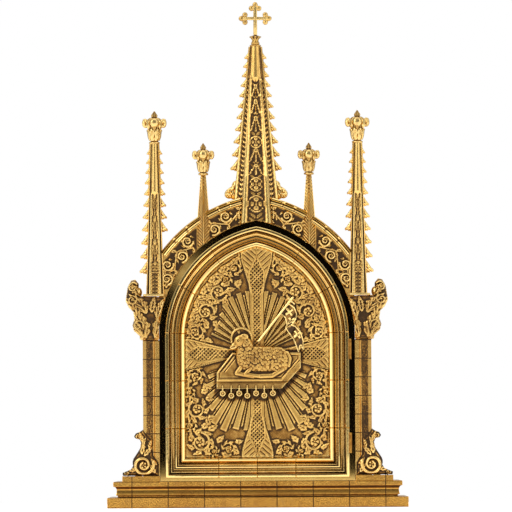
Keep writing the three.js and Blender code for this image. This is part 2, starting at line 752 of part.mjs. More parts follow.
// A cross whose ends open into three round lobes.
function cross() {
  const bottom = spireTopZ + crownHeight;
  const half = crossSpan / 2;
  const centre = bottom + crossHeight - half;
  const tipLobe = 5.6;
  const sideLobe = 5.2;
  const sideReach = 8;
  const lobe = (x, z, r, thickness) => {
    const points = Array.from({ length: 8 }, (_, i) => {
      const turn = ((i + 0.5) * Math.PI) / 4;
      return [x + r * Math.cos(turn), z + r * Math.sin(turn)];
    });
    return plate(points, spireY + thickness / 2, thickness);
  };
  const thick = crossThickness / 2;
  const bar = crossSpan * 0.055;
  const parts = [
    box(-bar, bar, spireY - thick, spireY + thick, bottom, centre + half * 0.8),
    box(-half * 0.8, half * 0.8, spireY - thick, spireY + thick, centre - bar * 0.8, centre + bar * 0.8),
  ];
  for (const [dx, dz] of [[1, 0], [-1, 0], [0, 1]]) {
    const tip = half - tipLobe;
    const shoulder = tip - 5;
    parts.push(lobe(dx * tip, centre + dz * tip, tipLobe, crossThickness - 1));
    for (const across of [1, -1]) {
      const x = dx * shoulder + dz * across * sideReach;
      const z = centre + dz * shoulder + dx * across * sideReach;
      parts.push(lobe(x, z, sideLobe, crossThickness - 2));
    }
  }
  return join(parts);
}

// Door leaf

function doorFrame() {
  // How far in from the door's edge, and height as a share of the frame's depth.
  const profile = [
    [0, 0], [0, 0.78], [0.12, 0.8], [0.22, 0.92], [0.3, 0.72], [0.36, 0.9], [0.55, 0.68], [0.74, 0.9],
    [0.83, 1], [0.92, 0.8], [1, 0.55], [1, 0],
  ];
  return loopLoft(profile.map(([inwards, height]) =>
    archOutline(-inwards * frameWidth).map(([x, z]) => [x, doorBack - height * frameDepth, z])));
}

// The relief is laid out on a grid of 71 units to the panel's half width, about the crossing
// of its arms.
const panelHalf = doorHalf - frameWidth - seat;
const unit = panelHalf / 71;
const panelGround = doorBack - panelThickness;
const crossing = doorBottom + frameWidth + 102 * unit;

function onPanel(a, b, out = 0) {
  return [a * unit, panelGround - out, crossing + b * unit];
}

function ray(angle, from, to, width, height) {
  const point = (r) => [r * Math.cos(angle) * unit, crossing + r * Math.sin(angle) * unit];
  return ridge([point(from), point(to)], [width * 0.4 * unit, width * unit], [height * 0.6, height], panelGround);
}

// One arm of the cross: a flared plate with a raised lozenge at its end.
function arm(angle, length, near, far) {
  const [c, s] = [Math.cos(angle), Math.sin(angle)];
  const point = (r, w) => [(r * c - w * s) * unit, crossing + (r * s + w * c) * unit];
  const outline = [[4, -near], [length * 0.62, -near], [length, -far], [length, far], [length * 0.62, near], [4, near]];
  const lozenge = [[length * 0.5, 0], [length * 0.78, -far * 0.5], [length * 0.98, 0], [length * 0.78, far * 0.5]];
  return join([
    plate(outline.map(([r, w]) => point(r, w)), panelGround + 1, 3.5),
    plate(lozenge.map(([r, w]) => point(r, w)), panelGround + 1, 5),
  ]);
}

function doorPanel() {
  const outline = archOutline(-frameWidth - seat);
  const parts = [plate(outline, doorBack, panelThickness)];
  parts.push(arm(0, 71, 8, 15), arm(Math.PI, 71, 8, 15), arm(-Math.PI / 2, 101, 8, 16), arm(Math.PI / 2, 101, 8, 16));
  const degrees = Math.PI / 180;
  for (let i = 0; i < 7; i++) {
    const upper = (101 + 10.5 * i) * degrees;
    const lower = (256 - 10.5 * i) * degrees;
    const reachUp = 62 - Math.abs(i - 1.5) * 4;
    const reachDown = 70 - i * 5;
    for (const turn of [upper, Math.PI - upper]) parts.push(ray(turn, 16, reachUp, 2.6, 2.2));
    for (const turn of [lower, Math.PI - lower]) parts.push(ray(turn, 16, reachDown, 2.4, 3));
  }
  // Rinceaux round the edge: centre, radius, start angle and turns of each curl.
  const curls = [
    [51, 45, 9, 3.6, 1.2], [40, 61, 9.5, 3.4, -1.2], [23.5, 86, 6.5, 4.2, 1.2], [61, 23, 8, 2.2, 1.2],
    [61, -21, 7.5, 0.5, 1.2], [61, -55, 9, 1.2, -1.2], [57, -88, 10.5, 1.4, 1.2], [29, -94, 7, 0.4, 1.2],
  ];
  for (const [a, b, radius, start, turns] of curls)
    for (const side of [1, -1]) {
      const [x, , z] = onPanel(side * a, b);
      const begin = side > 0 ? start : Math.PI - start;
      parts.push(curl(x, z, radius * unit, panelGround, begin, side * turns, 1.6 * unit, 7));
    }
  const trim = plate(outline, doorBack, panelThickness + reliefTop);
  return join(parts).intersect(trim).subtract(bookSpace());
}

// The lamb and its book are cast by themselves: the book is let into the relief and the lamb
// stands clear in front of it.
const reliefTop = 4.2; // highest relief above the panel's ground
const lambBack = panelGround - reliefTop - seat;
const bookEdge = 14; // front edge of the book above the panel's ground
const bookTop = 9;
const bookOutline = [[-40.5, -34], [24.5, -34], [43.5, -13.5], [43.5, 2], [-25, 2], [-40.5, -17.5]];
const bookCover = [[-40.5, -26], [25, -26], [43.5, -5], [43.5, 2], [-25, 2], [-40.5, -17.5]];

function bookSpace() {
  const grow = 0.25;
  const points = bookOutline.map(([a, b]) => [a + Math.sign(a) * grow, b + Math.sign(b + 16) * grow]);
  return plate(points.map(([a, b]) => [a * unit, crossing + b * unit]), panelGround, frameDepth);
}

function lambOnBook() {
  const at = (a, b, out) => onPanel(a, b, out);
  const u = unit;
  const flat = (points, depth) => plate(points.map(([a, b]) => [a * u, crossing + b * u]), panelGround - seat, depth);
  const book = flat([[-40.5, -34], [24.5, -34], [43.5, -13.5], [43.5, -5], [25, -26], [-40.5, -26]], bookEdge);
  const top = flat(bookCover, bookTop);
  const body = stalk(
    [at(32, 0, 9), at(24, 1, 10), at(6, 2, 11), at(-10, 0, 11), at(-17, -6, 9)],
    [4 * u, 11 * u, 10.5 * u, 11 * u, 5 * u], [4, 8, 8.5, 8.5, 4], 6,
  );
  const haunch = stalk([at(26, 4, 10), at(24, -8, 12), at(14, -20, 12)], [6 * u, 8 * u, 2.5 * u], [5, 7, 3], 6);
  const chest = stalk([at(-12, 14, 10), at(-12, 2, 12), at(-11, -14, 12)], [5.5 * u, 8.5 * u, 5 * u], [5, 7.5, 5], 6);
  const head = stalk([at(-11, 15, 12), at(-17, 13, 14), at(-24, 8, 14), at(-27, 6, 13)], [4.5 * u, 5.6 * u, 3.2 * u, 1.8 * u], [5, 6, 4, 2.5], 6);
  const ear = stalk([at(-12, 14, 17), at(-9, 8, 18)], [1.8 * u, 1.2 * u], [1.5, 1], 4);
  const foreleg = stalk([at(-14, -17, 12), at(-18, -21, 12), at(2, -22, 11)], [3 * u, 2.2 * u, 1.4 * u], [4, 3, 2], 4);
  const hindleg = stalk([at(22, -17, 12), at(4, -22, 11)], [3 * u, 1.4 * u], [4, 2.5], 4);
  const halo = haloDisc();
  const seals = [-34.5, -26, -18, -10, -1.2, 7, 15.6].map((a, k) => {
    const low = k % 2 ? 2.2 : 0;
    const disc = [-1, -0.33, 0.33, 1].flatMap((_, i) => {
      const turn = (2 * Math.PI * (i + 1.25)) / 5;
      return [[a + 3 * Math.sin(turn) * -1, -38.5 - low + 3 * Math.cos(turn)]];
    });
    const outline = [[a - 0.8, -30], ...disc, [a + 0.8, -30]];
    return plate(outline.map(([p, q]) => [p * u, crossing + q * u]), lambBack + 0.5, 5);
  });
  const clear = sideBox(1, -2 * doorHalf, 2 * doorHalf, 4 * lipFront, lambBack, doorBottom, 2 * springing);
  return join([body, haunch, chest, head, ear, foreleg, hindleg, halo, ...seals]).intersect(clear).add(book).add(top);
}

// A ring behind the lamb's head.
function haloDisc() {
  const ring = Array.from({ length: 12 }, (_, i) => {
    const turn = (i * Math.PI) / 6;
    return [(-14 + 11 * Math.cos(turn)) * unit, crossing + (15 + 11 * Math.sin(turn)) * unit];
  });
  return plate(ring, lambBack, 3);
}

// The banner on its staff: two swallow folds of polished sheet and a small cross.
function banner() {
  const u = unit;
  const flat = (points, out, thick) => plate(points.map(([a, b]) => [a * u, crossing + b * u]), panelGround - out, thick);
  const staff = stalk([onPanel(-2, 9, 14), onPanel(36, 57, 11)], [0.9 * u, 0.9 * u], [1.6, 1.6], 5);
  const upper = flat([[23, 40], [29, 50], [33, 51], [39, 45], [40, 37], [35, 29], [29, 24], [26, 25], [30, 30], [29, 36], [26, 40]], 9, 3);
  const lower = flat([[28, 26], [34, 30], [38, 30], [45, 22], [46, 12], [49, 8], [43, 10], [42, 4], [39, 9], [36, 15], [31, 23]], 7, 3);
  const arms = flat([[32, 55.4], [33.4, 56.8], [38, 52], [36.6, 50.6]], 10, 3);
  return join([staff, upper, lower, arms]).subtract(lambOnBookClear());
}

function lambOnBookClear() {
  const u = unit;
  const points = [[-32, -30], [34, -30], [34, 13.4], [-32, 13.4]];
  return plate(points.map(([a, b]) => [a * u, crossing + b * u]), panelGround, 40);
}

const hingeX = doorHalf + hingeGap + hingeRadius;
const hingeY = doorFront + hingeRadius + 3;
const hingeFeet = { lower: doorBottom + lowerHingeAbove, upper: springing - upperHingeBelow };

function barrel(from, to, radius) {
  const points = Array.from({ length: 10 }, (_, i) => {
    const turn = (i * Math.PI) / 5;
    return new THREE.Vector2(hingeX + radius * Math.cos(turn), hingeY + radius * Math.sin(turn));
  });
  const geometry = new THREE.ExtrudeGeometry(new THREE.Shape(points), { depth: to - from, bevelEnabled: false });
  geometry.translate(0, 0, from);
  return solid(geometry);
}

// The fixed half, with its pin.
function pintle(foot) {
  const top = foot + knuckleLength;
  const flange = box(
    hingeX + hingeRadius - 1, hingeX + hingeRadius - 0.1, hingeY, surroundFront - seat, foot, top,
  );
  return barrel(foot, top, hingeRadius).add(flange).add(barrel(foot + 1, top + knuckleLength - 1, pinRadius));
}

// The half on the door's edge.
function gudgeon(foot) {
  const bottom = foot + knuckleLength + seat;
  const top = bottom + knuckleLength;
  const flange = box(doorHalf + 0.2, doorHalf + 1.2, hingeY, doorBack - 2, bottom, top);
  const bore = barrel(bottom - 1, top - 0.5, pinRadius + pinClearance);
  return barrel(bottom, top, hingeRadius).add(flange).subtract(bore);
}

// Assembly

const group = new THREE.Group();
const place = (name, made, material) => group.add(meshOf(name, made, material));

place("base_slab", baseSlab(), satinBrass);
place("plinth", plinth(), satinBrass);
place("cabinet_floor", cabinetFloor(), satinBrass);
place("cabinet_back", cabinetEnd(cabinetBack, wall), satinBrass);
place("cabinet_roof", cabinetRoof(), satinBrass);
place("cabinet_front", cabinetEnd(frontPlane + frontThickness, frontThickness, archOutline(-doorLap)), satinBrass);
place("door_surround", doorSurround(), polishedBrass);
for (const [word, side] of [["left", -1], ["right", 1]]) {
  place(`foot_block_${word}`, footBlock(side), satinBrass);
  place(`cabinet_side_${word}`, cabinetSide(side), satinBrass);
  place(`gable_moulding_${word}_lower`, gableMoulding(side, true), polishedBrass);
  place(`gable_moulding_${word}_upper`, gableMoulding(side, false), polishedBrass);
  place(`spandrel_${word}_lower`, spandrel(side, true), antiqueBrass);
  place(`spandrel_${word}_upper`, spandrel(side, false), antiqueBrass);
  place(`pier_${word}`, pier(side), satinBrass);
  place(`scroll_bracket_${word}`, scrollBracket(side), antiqueBrass);
  place(`capital_${word}`, capital(side), antiqueBrass);
  place(`pinnacle_${word}`, pinnacle(side), antiqueBrass);
  place(
    `pinnacle_finial_${word}`,
    finial(side * pinnacleX, pinnacleY, pinnacleBottom + pinnacleHeight, finialHeight, finialReach),
    antiqueBrass,
  );
  place(`small_pinnacle_${word}`, smallPinnacle(side), satinBrass);
  place(
    `small_finial_${word}`,
    finial(side * smallPinnacleX, frontPlane - 1, springing + smallPinnacleTop, smallFinialHeight, smallFinialReach),
    antiqueBrass,
  );
}
place("spire", spire(), antiqueBrass);
place("spire_crown", spireCrown(), antiqueBrass);
place("cross", cross(), antiqueBrass);
place("door_frame", doorFrame(), polishedBrass);
place("door_panel", doorPanel(), antiqueBrass);
place("lamb_on_book", lambOnBook(), antiqueBrass);
place("banner", banner(), polishedBrass);
for (const [word, foot] of Object.entries(hingeFeet)) {
  place(`hinge_pintle_${word}`, pintle(foot), polishedBrass);
  place(`hinge_gudgeon_${word}`, gudgeon(foot), polishedBrass);
}

export default group;
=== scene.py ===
"""Looks of the altar tabernacle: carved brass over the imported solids, on a pale studio floor."""

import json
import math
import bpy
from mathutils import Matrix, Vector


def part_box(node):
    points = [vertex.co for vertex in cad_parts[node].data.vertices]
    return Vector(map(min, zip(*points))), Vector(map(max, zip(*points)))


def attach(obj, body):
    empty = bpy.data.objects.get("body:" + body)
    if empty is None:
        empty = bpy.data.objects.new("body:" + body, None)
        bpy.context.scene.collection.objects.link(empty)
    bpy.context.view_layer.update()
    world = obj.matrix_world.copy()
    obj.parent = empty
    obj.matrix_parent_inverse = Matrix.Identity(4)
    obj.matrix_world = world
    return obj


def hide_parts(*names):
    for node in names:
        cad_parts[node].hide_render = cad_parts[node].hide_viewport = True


bl_info = {
    "name": "Altar tabernacle",
    "version": (1, 0, 0),
    "blender": (4, 5, 0),
    "location": "View3D > Sidebar > Tabernacle",
    "description": "Builds the carved brass of an altar tabernacle over its solids",
    "category": "Object",
}

import bmesh
import bpy
import numpy as np
from mathutils import Matrix, Vector

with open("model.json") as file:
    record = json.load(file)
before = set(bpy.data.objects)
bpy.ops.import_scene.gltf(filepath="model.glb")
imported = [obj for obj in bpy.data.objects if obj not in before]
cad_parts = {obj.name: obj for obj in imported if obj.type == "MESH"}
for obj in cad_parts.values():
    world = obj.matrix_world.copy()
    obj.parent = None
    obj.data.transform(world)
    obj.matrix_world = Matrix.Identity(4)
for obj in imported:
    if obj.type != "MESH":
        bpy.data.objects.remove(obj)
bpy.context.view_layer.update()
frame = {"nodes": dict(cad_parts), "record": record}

MM = 0.001
SIDES = (("left", -1), ("right", 1))

# Levels and sizes in millimetres, read from the solids


def low(node, axis):
    """The lowest coordinate of a solid along an axis."""
    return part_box(node)[0][axis] / MM


def high(node, axis):
    """The highest coordinate of a solid along an axis."""
    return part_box(node)[1][axis] / MM


def middle_of(node, axis):
    """The middle of a solid along an axis."""
    return (low(node, axis) + high(node, axis)) / 2


def around(node, aside, below, above):
    """The ranges of x and z round a solid, with room on every side."""
    x_range = (low(node, 0) - aside, high(node, 0) + aside)
    return x_range, (low(node, 2) - below, high(node, 2) + above)


DOOR_HALF = high("door_frame", 0)
DOOR_BOTTOM = low("door_frame", 2)
DOOR_BACK = high("door_frame", 1)
DOOR_DEPTH = DOOR_BACK - low("door_frame", 1)
ARCH_RISE = 220.0
SPRINGING = high("door_frame", 2) - ARCH_RISE
ARCH_RADIUS = (DOOR_HALF**2 + ARCH_RISE**2) / (2 * DOOR_HALF)
ARCH_OFFSET = ARCH_RADIUS - DOOR_HALF
FRAME_WIDTH = 41.0
PANEL_BACK = high("door_panel", 1)
PANEL_GROUND = PANEL_BACK - 7.7
PANEL_HALF = high("door_panel", 0)
UNIT = PANEL_HALF / 71
CROSSING = low("door_panel", 2) - 0.3 + 102 * UNIT
FRONT_PLANE = low("cabinet_front", 1)
SURROUND_BACK = high("door_surround", 1)
SURROUND_FRONT = low("door_surround", 1)
SURROUND_WIDTH = high("door_surround", 0) - DOOR_HALF
GABLE_REACH = 64.0
GABLE_WIDTH = 15.0
GABLE_GROUND = FRONT_PLANE - 0.3
CABINET_HALF = high("cabinet_side_right", 0)
SPIRE_Y = middle_of("spire_crown", 1)
SPIRE_TOP = high("spire", 2)
SPIRE_FOOT_Z = high("door_surround", 2)
SPIRE_FOOT = 46.5
SPIRE_TIP = 10.9
SPIRE_CUT = 0.58
SPIRE_PLAIN = 850
PINNACLE_PLAIN = 622
ROSE_LEVEL = 481.6


def panel_place(x, z):
    """A place on the door in panel units: out and up from where the cross's arms meet."""
    return x / UNIT, (z - CROSSING) / UNIT


def arch_reach(x, z):
    """How far a place lies outside the door's arch, above its springing."""
    return np.hypot(np.abs(x) + ARCH_OFFSET, z - SPRINGING) - ARCH_RADIUS


def arch_foot(x, y):
    """Level at which a shaft meets the surround, or the gable behind the front plate's face."""
    reach = SURROUND_WIDTH + 0.4 if y < FRONT_PLANE else GABLE_REACH + 0.4
    return SPRINGING + math.sqrt((ARCH_RADIUS + reach) ** 2 - (abs(x) + ARCH_OFFSET) ** 2)


# Meshes


def new_bmesh():
    """An empty mesh whose points know how deep they lie in a hollow."""
    bm = bmesh.new()
    bm.verts.layers.float.new("recess")
    return bm


def add_surface(bm, points, recess=None):
    """Adds a grid bent to an array of points in millimetres, rows by columns by three."""
    rows, cols = points.shape[:2]
    made = bmesh.ops.create_grid(bm, x_segments=cols - 1, y_segments=rows - 1, size=1.0)
    layer = bm.verts.layers.float["recess"]
    metres = (points * MM).tolist()
    depth = None if recess is None else recess.tolist()
    for vert in made["verts"]:
        col = round((vert.co.x + 1) * 0.5 * (cols - 1))
        row = round((vert.co.y + 1) * 0.5 * (rows - 1))
        vert.co = metres[row][col]
        if depth is not None:
            vert[layer] = depth[row][col]
    return made["verts"]


def body_of(node):
    """The name of the body that a solid belongs to."""
    bodies = frame["record"]["behaviour"]["bodies"]
    return next(body for body, nodes in bodies.items() if node in nodes)


def settle_recess(mesh, depth):
    """Adds to each point how far it lies under its smoothed neighbourhood: 1 deep in, -1 on a ridge."""
    count = len(mesh.vertices)
    ends = np.empty(len(mesh.edges) * 2, np.int32)
    mesh.edges.foreach_get("vertices", ends)
    place = np.empty(count * 3)
    mesh.vertices.foreach_get("co", place)
    place = place.reshape(-1, 3) / MM
    normal = np.empty(count * 3)
    mesh.vertices.foreach_get("normal", normal)
    first = np.concatenate([ends[0::2], ends[1::2]])
    other = np.concatenate([ends[1::2], ends[0::2]])
    degree = np.maximum(np.bincount(first, minlength=count), 1)
    soft = place.copy()
    for _ in range(16):
        total = [np.bincount(first, soft[other, axis], count) for axis in range(3)]
        soft = 0.5 * soft + 0.5 * np.stack(total, -1) / degree[:, None]
    # Hollows come out above 0, to be darkened by patina with painted shade, and ridges below 0, to be paled
    # by rubbed shine with a painted highlight.
    under = ((soft - place) * normal.reshape(-1, 3)).sum(-1) / depth
    given = np.empty(count)
    layer = mesh.attributes["recess"].data
    layer.foreach_get("value", given)
    layer.foreach_set("value", np.clip(under + given, -1, 1.3))


def finished(name, bm, finish, slot, *nodes, sharp=38.0, depth=0.9):
    """Closes the mesh and sets it in place of its solids."""
    bmesh.ops.remove_doubles(bm, verts=bm.verts[:], dist=0.000005)
    open_edges = [edge for edge in bm.edges if edge.is_boundary]
    if open_edges:
        bmesh.ops.holes_fill(bm, edges=open_edges, sides=0)
    bmesh.ops.recalc_face_normals(bm, faces=bm.faces[:])
    for face in bm.faces:
        face.smooth = True
    mesh = bpy.data.meshes.new(name)
    bm.to_mesh(mesh)
    bm.free()
    settle_recess(mesh, depth)
    mesh.set_sharp_from_angle(angle=math.radians(sharp))
    mesh.materials.append(finishes()[finish])
    piece = bpy.data.objects.new(name, mesh)
    bpy.context.scene.collection.objects.link(piece)
    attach(piece, body_of(nodes[0]))
    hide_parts(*nodes)
    return piece


def blurred(field, reach):
    """A box blur, twice, over a rows by columns array."""
    for _ in range(2):
        for axis in (0, 1):
            width = 2 * reach + 1
            edge = [(reach + 1, reach) if a == axis else (0, 0) for a in (0, 1)]
            total = np.cumsum(np.pad(field, edge, mode="edge"), axis=axis)
            upper = np.take(total, range(width, total.shape[axis]), axis=axis)
            lower = np.take(total, range(total.shape[axis] - width), axis=axis)
            field = (upper - lower) / width
    return field


def hollows(height, reach, depth):
    """How far each point lies below its neighbourhood, from 0 to 1."""
    near = blurred(height, max(1, reach // 2)) - height
    wide = blurred(height, reach) - height
    return np.clip((near + wide) / depth, 0, 1)


def relief(bm, x_range, z_range, step, carve, ground, back, keep=None, depth=1.6, shade=None):
    """A carved front standing out of y = ground, closed by a flat back at y = back. shade adds
    to how dark the metal is at a place and height."""
    cols = int((x_range[1] - x_range[0]) / step) + 1
    rows = int((z_range[1] - z_range[0]) / step) + 1
    x, z = np.meshgrid(np.linspace(*x_range, cols), np.linspace(*z_range, rows))
    height = carve(x, z)
    # Patina with painted shade in the carving's hollows; shade adds more painted darkness.
    recess = hollows(height, max(2, round(5 / step)), depth)
    if shade is not None:
        recess = np.maximum(recess, shade(x, z, height))
    verts = add_surface(bm, np.stack([x, ground - height, z], -1), recess)
    if keep is not None:
        inside = keep(x, z, height)
        spots = np.round(np.stack([x[~inside], z[~inside]], -1) * MM, 6)
        outside = {(round(float(a), 6), round(float(b), 6)) for a, b in spots}
        gone = [v for v in verts if (round(v.co.x, 6), round(v.co.z, 6)) in outside]
        bmesh.ops.delete(bm, geom=gone, context="VERTS")
    rim = [edge for edge in bm.edges if edge.is_boundary]
    walls = bmesh.ops.extrude_edge_only(bm, edges=rim)
    for item in walls["geom"]:
        if isinstance(item, bmesh.types.BMVert):
            item.co.y = back * MM


def dark_ground(limit, most):
    """Darkness that fades from most at the ground to none at the height of limit; with a low limit it is
    painted shade on the ground between raised carving.
    """

    def shade(x, z, height):
        return most * smooth(1 - height / limit)

    return shade


# Ornament: heights over x and z, from 0 to 1


def smooth(value):
    """A soft step from 0 to 1."""
    value = np.clip(value, 0, 1)
    return value * value * (3 - 2 * value)


def ridge(distance, width):
    """A half-round rib, 1 on its line and 0 from width on."""
    return np.sqrt(np.clip(1 - (distance / width) ** 2, 0, 1))


def over(height, shown, level):
    """Lays a shape over the relief where it is shown and stands higher."""
    return np.maximum(height, np.where(shown, level, 0))


def spiral(x, z, centre, radius, start, turns, width):
    """A round stem winding inwards."""
    dx = x - centre[0]
    dz = z - centre[1]
    rho = np.hypot(dx, dz)
    base = ((np.arctan2(dz, dx) - start) * np.sign(turns)) % (2 * math.pi)
    height = np.zeros_like(x)
    for lap in range(int(abs(turns)) + 1):
        t = (base + 2 * math.pi * lap) / (2 * math.pi * abs(turns))
        stem = ridge(rho - radius * (1 - 0.8 * t), width * (1 - 0.4 * t))
        height = over(height, t <= 1, stem)
    return height


def rosette(x, z, centre, radius, petals=6):
    """A ring of petals round a boss."""
    dx = x - centre[0]
    dz = z - centre[1]
    rho = np.hypot(dx, dz)
    lobes = np.abs(np.cos(petals * np.arctan2(dz, dx) / 2))
    ring = ridge(rho - 0.6 * radius, 0.42 * radius) * (0.3 + 0.7 * lobes)
    return np.maximum(ring, ridge(rho, 0.26 * radius))


def vine_leaf(x, z, centre, radius, turn, lobes=5):
    """A broad leaf of round lobes, cupped, with a rib down each lobe."""
    dx = x - centre[0]
    dz = z - centre[1]
    rho = np.hypot(dx, dz)
    angle = np.arctan2(dz, dx) - turn
    edge = radius * (0.58 + 0.42 * np.abs(np.cos(lobes * angle / 2)) ** 0.7)
    edge = edge * (1 + 0.07 * np.cos(4 * lobes * angle))
    inside = smooth((edge - rho) / (0.14 * radius))
    off = np.abs((angle * lobes / (2 * math.pi) + 0.5) % 1 - 0.5) * 2 * math.pi / lobes * rho
    rib = np.exp(-((off / (0.08 * radius)) ** 2)) * smooth(rho / (0.2 * radius))
    return inside * (0.55 + 0.45 * (rho / edge) ** 2) * (1 - 0.4 * rib)


def leaf(x, z, root, direction, length, width, bend=0.0, lobes=4):
    """A pointed, lobed leaf with a sunk midrib and veins."""
    dx = x - root[0]
    dz = z - root[1]
    u = (dx * math.cos(direction) + dz * math.sin(direction)) / length
    v = -dx * math.sin(direction) + dz * math.cos(direction) - bend * length * u * u
    inside = np.clip(u, 0, 1)
    half = width * np.sin(math.pi * inside**0.75) * (0.74 + 0.26 * np.abs(np.cos(lobes * math.pi * inside)))
    half = np.where((u > 0) & (u < 1), half, 1e-6) + 1e-6
    body = ridge(v, half)
    vein = 1 - 0.4 * np.exp(-((v / (0.16 * width)) ** 2))
    fan = 1 - 0.22 * (np.cos(2 * math.pi * lobes * (inside - 0.5 * np.abs(v) / width)) > 0.2)
    return body * vein * fan


def scroll(x, z, centre, radius, start, turns, leaves=7):
    """A stem wound round a rosette, with leaves thrown off its outer turn."""
    height = 0.8 * spiral(x, z, centre, radius, start, turns, 0.15 * radius)
    height = np.maximum(height, rosette(x, z, centre, 0.48 * radius, 5))
    for k in range(leaves):
        angle = start + np.sign(turns) * (0.3 + 2 * math.pi * k / leaves)
        root = (centre[0] + 0.82 * radius * math.cos(angle), centre[1] + 0.82 * radius * math.sin(angle))
        lean = angle + 0.8 * np.sign(turns)
        bend = 0.5 * np.sign(turns)
        height = np.maximum(height, 0.9 * leaf(x, z, root, lean, 0.95 * radius, 0.33 * radius, bend, 3))
    for k in range(4):
        angle = start - np.sign(turns) * (0.5 + 1.5 * k)
        root = (centre[0] + 0.86 * radius * math.cos(angle), centre[1] + 0.86 * radius * math.sin(angle))
        lean = angle + math.pi - 0.9 * np.sign(turns)
        height = np.maximum(height, 0.7 * leaf(x, z, root, lean, 0.62 * radius, 0.2 * radius, 0.3, 2))
    return height


def herringbone(x, z, pitch, slope):
    """Pairs of small leaves slanting up from a middle line."""
    phase = ((z - slope * np.abs(x)) / pitch) % 1
    return ridge(phase - 0.5, 0.42) * (1 - 0.5 * np.exp(-((np.abs(x) / (0.14 * pitch)) ** 2)))


def pierced(x, z, pitch):
    """A flat plate with rows of small sunk lozenges."""
    one = np.abs(((x + z) / pitch) % 1 - 0.5)
    two = np.abs(((x - z) / pitch) % 1 - 0.5)
    return smooth((0.5 - np.maximum(0.5 - one, 0.5 - two) - 0.16) / 0.14) * -1


def run_distance(x, z, start, end):
    """Distance from a straight run between two points."""
    dx = end[0] - start[0]
    dz = end[1] - start[1]
    t = np.clip(((x - start[0]) * dx + (z - start[1]) * dz) / (dx**2 + dz**2), 0, 1)
    return np.hypot(x - start[0] - t * dx, z - start[1] - t * dz)


def vine(x, z, points, width):
    """A round stem along straight runs between points."""
    height = np.zeros_like(x)
    for start, end in zip(points[:-1], points[1:]):
        height = np.maximum(height, ridge(run_distance(x, z, start, end), width))
    return height


def lattice(x, z, pitch, width):
    """Crossing diagonal bands with a boss in each lozenge."""
    one = np.abs(((x + z) / pitch) % 1 - 0.5) * pitch
    two = np.abs(((x - z) / pitch) % 1 - 0.5) * pitch
    bands = np.maximum(ridge(one, width), ridge(two, width))
    boss = ridge(np.hypot(pitch / 2 - one, pitch / 2 - two), 0.24 * pitch)
    return np.maximum(bands, 0.8 * boss)


def inside_depth(points, x, z):
    """Distance inside an outline, negative outside it."""
    inside = np.zeros(x.shape, bool)
    nearest = np.full(x.shape, 1e9)
    for (x0, z0), (x1, z1) in zip(points, points[1:] + points[:1]):
        crosses = (z0 > z) != (z1 > z)
        rise = z1 - z0 if z1 != z0 else 1e-9
        inside ^= crosses & (x < (x1 - x0) * (z - z0) / rise + x0)
        nearest = np.minimum(nearest, run_distance(x, z, (x0, z0), (x1, z1)))
    return np.where(inside, nearest, -nearest)


def flowing(points, count):
    """Points on a smooth curve through a few given ones."""
    given = np.array(points, float)
    padded = np.vstack([2 * given[0] - given[1], given, 2 * given[-1] - given[-2]])
    result = []
    for s in np.linspace(0, len(given) - 1, count):
        k = min(int(s), len(given) - 2)
        t = s - k
        a, b, c, d = padded[k : k + 4]
        result.append(
            0.5 * (2 * b + (c - a) * t + (2 * a - 5 * b + 4 * c - d) * t**2 + (3 * b - a - 3 * c + d) * t**3)
        )
    return np.array(result)


def curled_leaf(bm, path, across, half_widths, half_depths, size=1.0, lobes=3, sides=10, count=14):
    """A thick leaf that follows a path: lobed edges, a grooved middle, painted shade inside its curl, and
    patina with painted shade in its groove and notches.
    """
    line = flowing(path, count)
    across = np.array(across, float)
    along = np.gradient(line, axis=0)
    along /= np.linalg.norm(along, axis=1)[:, None] + 1e-9
    outward = np.cross(across, along)
    t = np.linspace(0, 1, count)
    wide = size * np.interp(t, np.linspace(0, 1, len(half_widths)), half_widths)
    deep = size * np.interp(t, np.linspace(0, 1, len(half_depths)), half_depths)
    wide = wide * (1 + 0.2 * np.cos(2 * math.pi * lobes * t))
    turn = np.linspace(0, 2 * math.pi, sides + 1)
    groove = np.exp(-((np.cos(turn) / 0.3) ** 2))
    c = np.cos(turn)[None, :, None]
    s = (np.sin(turn) * (1 - 0.35 * groove))[None, :, None]
    points = (
        line[:, None, :]
        + across[None, None, :] * wide[:, None, None] * c
        + outward[:, None, :] * deep[:, None, None] * s
    )
    # Painted shade inside the curl; patina with painted shade in the groove and the notches between lobes.
    curl = smooth((t - 0.55) * 4)[:, None] * smooth(np.sin(turn) * 1.6)[None, :]
    notches = 0.4 * (1 - np.cos(2 * math.pi * lobes * t))[:, None]
    dark = 0.4 * groove[None, :] + 0.8 * curl + 0.5 * notches * (1 - 0.6 * np.abs(np.sin(turn)))[None, :]
    add_surface(bm, points, np.clip(dark, 0, 1))


# Outlines shared with the solids


def arch_edge(kind, share, reach, bottom=None):
    """A point on the door's outline moved outwards by reach: on the sill, a jamb or an arc.
    The first and last twelfth of a straight run take up the mitre."""
    half = DOOR_HALF + reach
    foot = DOOR_BOTTOM - reach if bottom is None else bottom
    mitre = FRAME_WIDTH + 4
    stops = [0, 1 / 12, 11 / 12, 1]
    if kind == "sill":
        inner = DOOR_HALF - mitre
        return float(np.interp(share, stops, [-half, -inner, inner, half])), foot
    side = 1 if kind.startswith("right") else -1
    if kind.endswith("jamb"):
        z = float(np.interp(share, [0, 1 / 12, 1], [foot, DOOR_BOTTOM + mitre, SPRINGING]))
        return side * half, z
    radius = ARCH_RADIUS + reach
    angle = share * math.acos(ARCH_OFFSET / radius)
    return side * (radius * math.cos(angle) - ARCH_OFFSET), SPRINGING + radius * math.sin(angle)


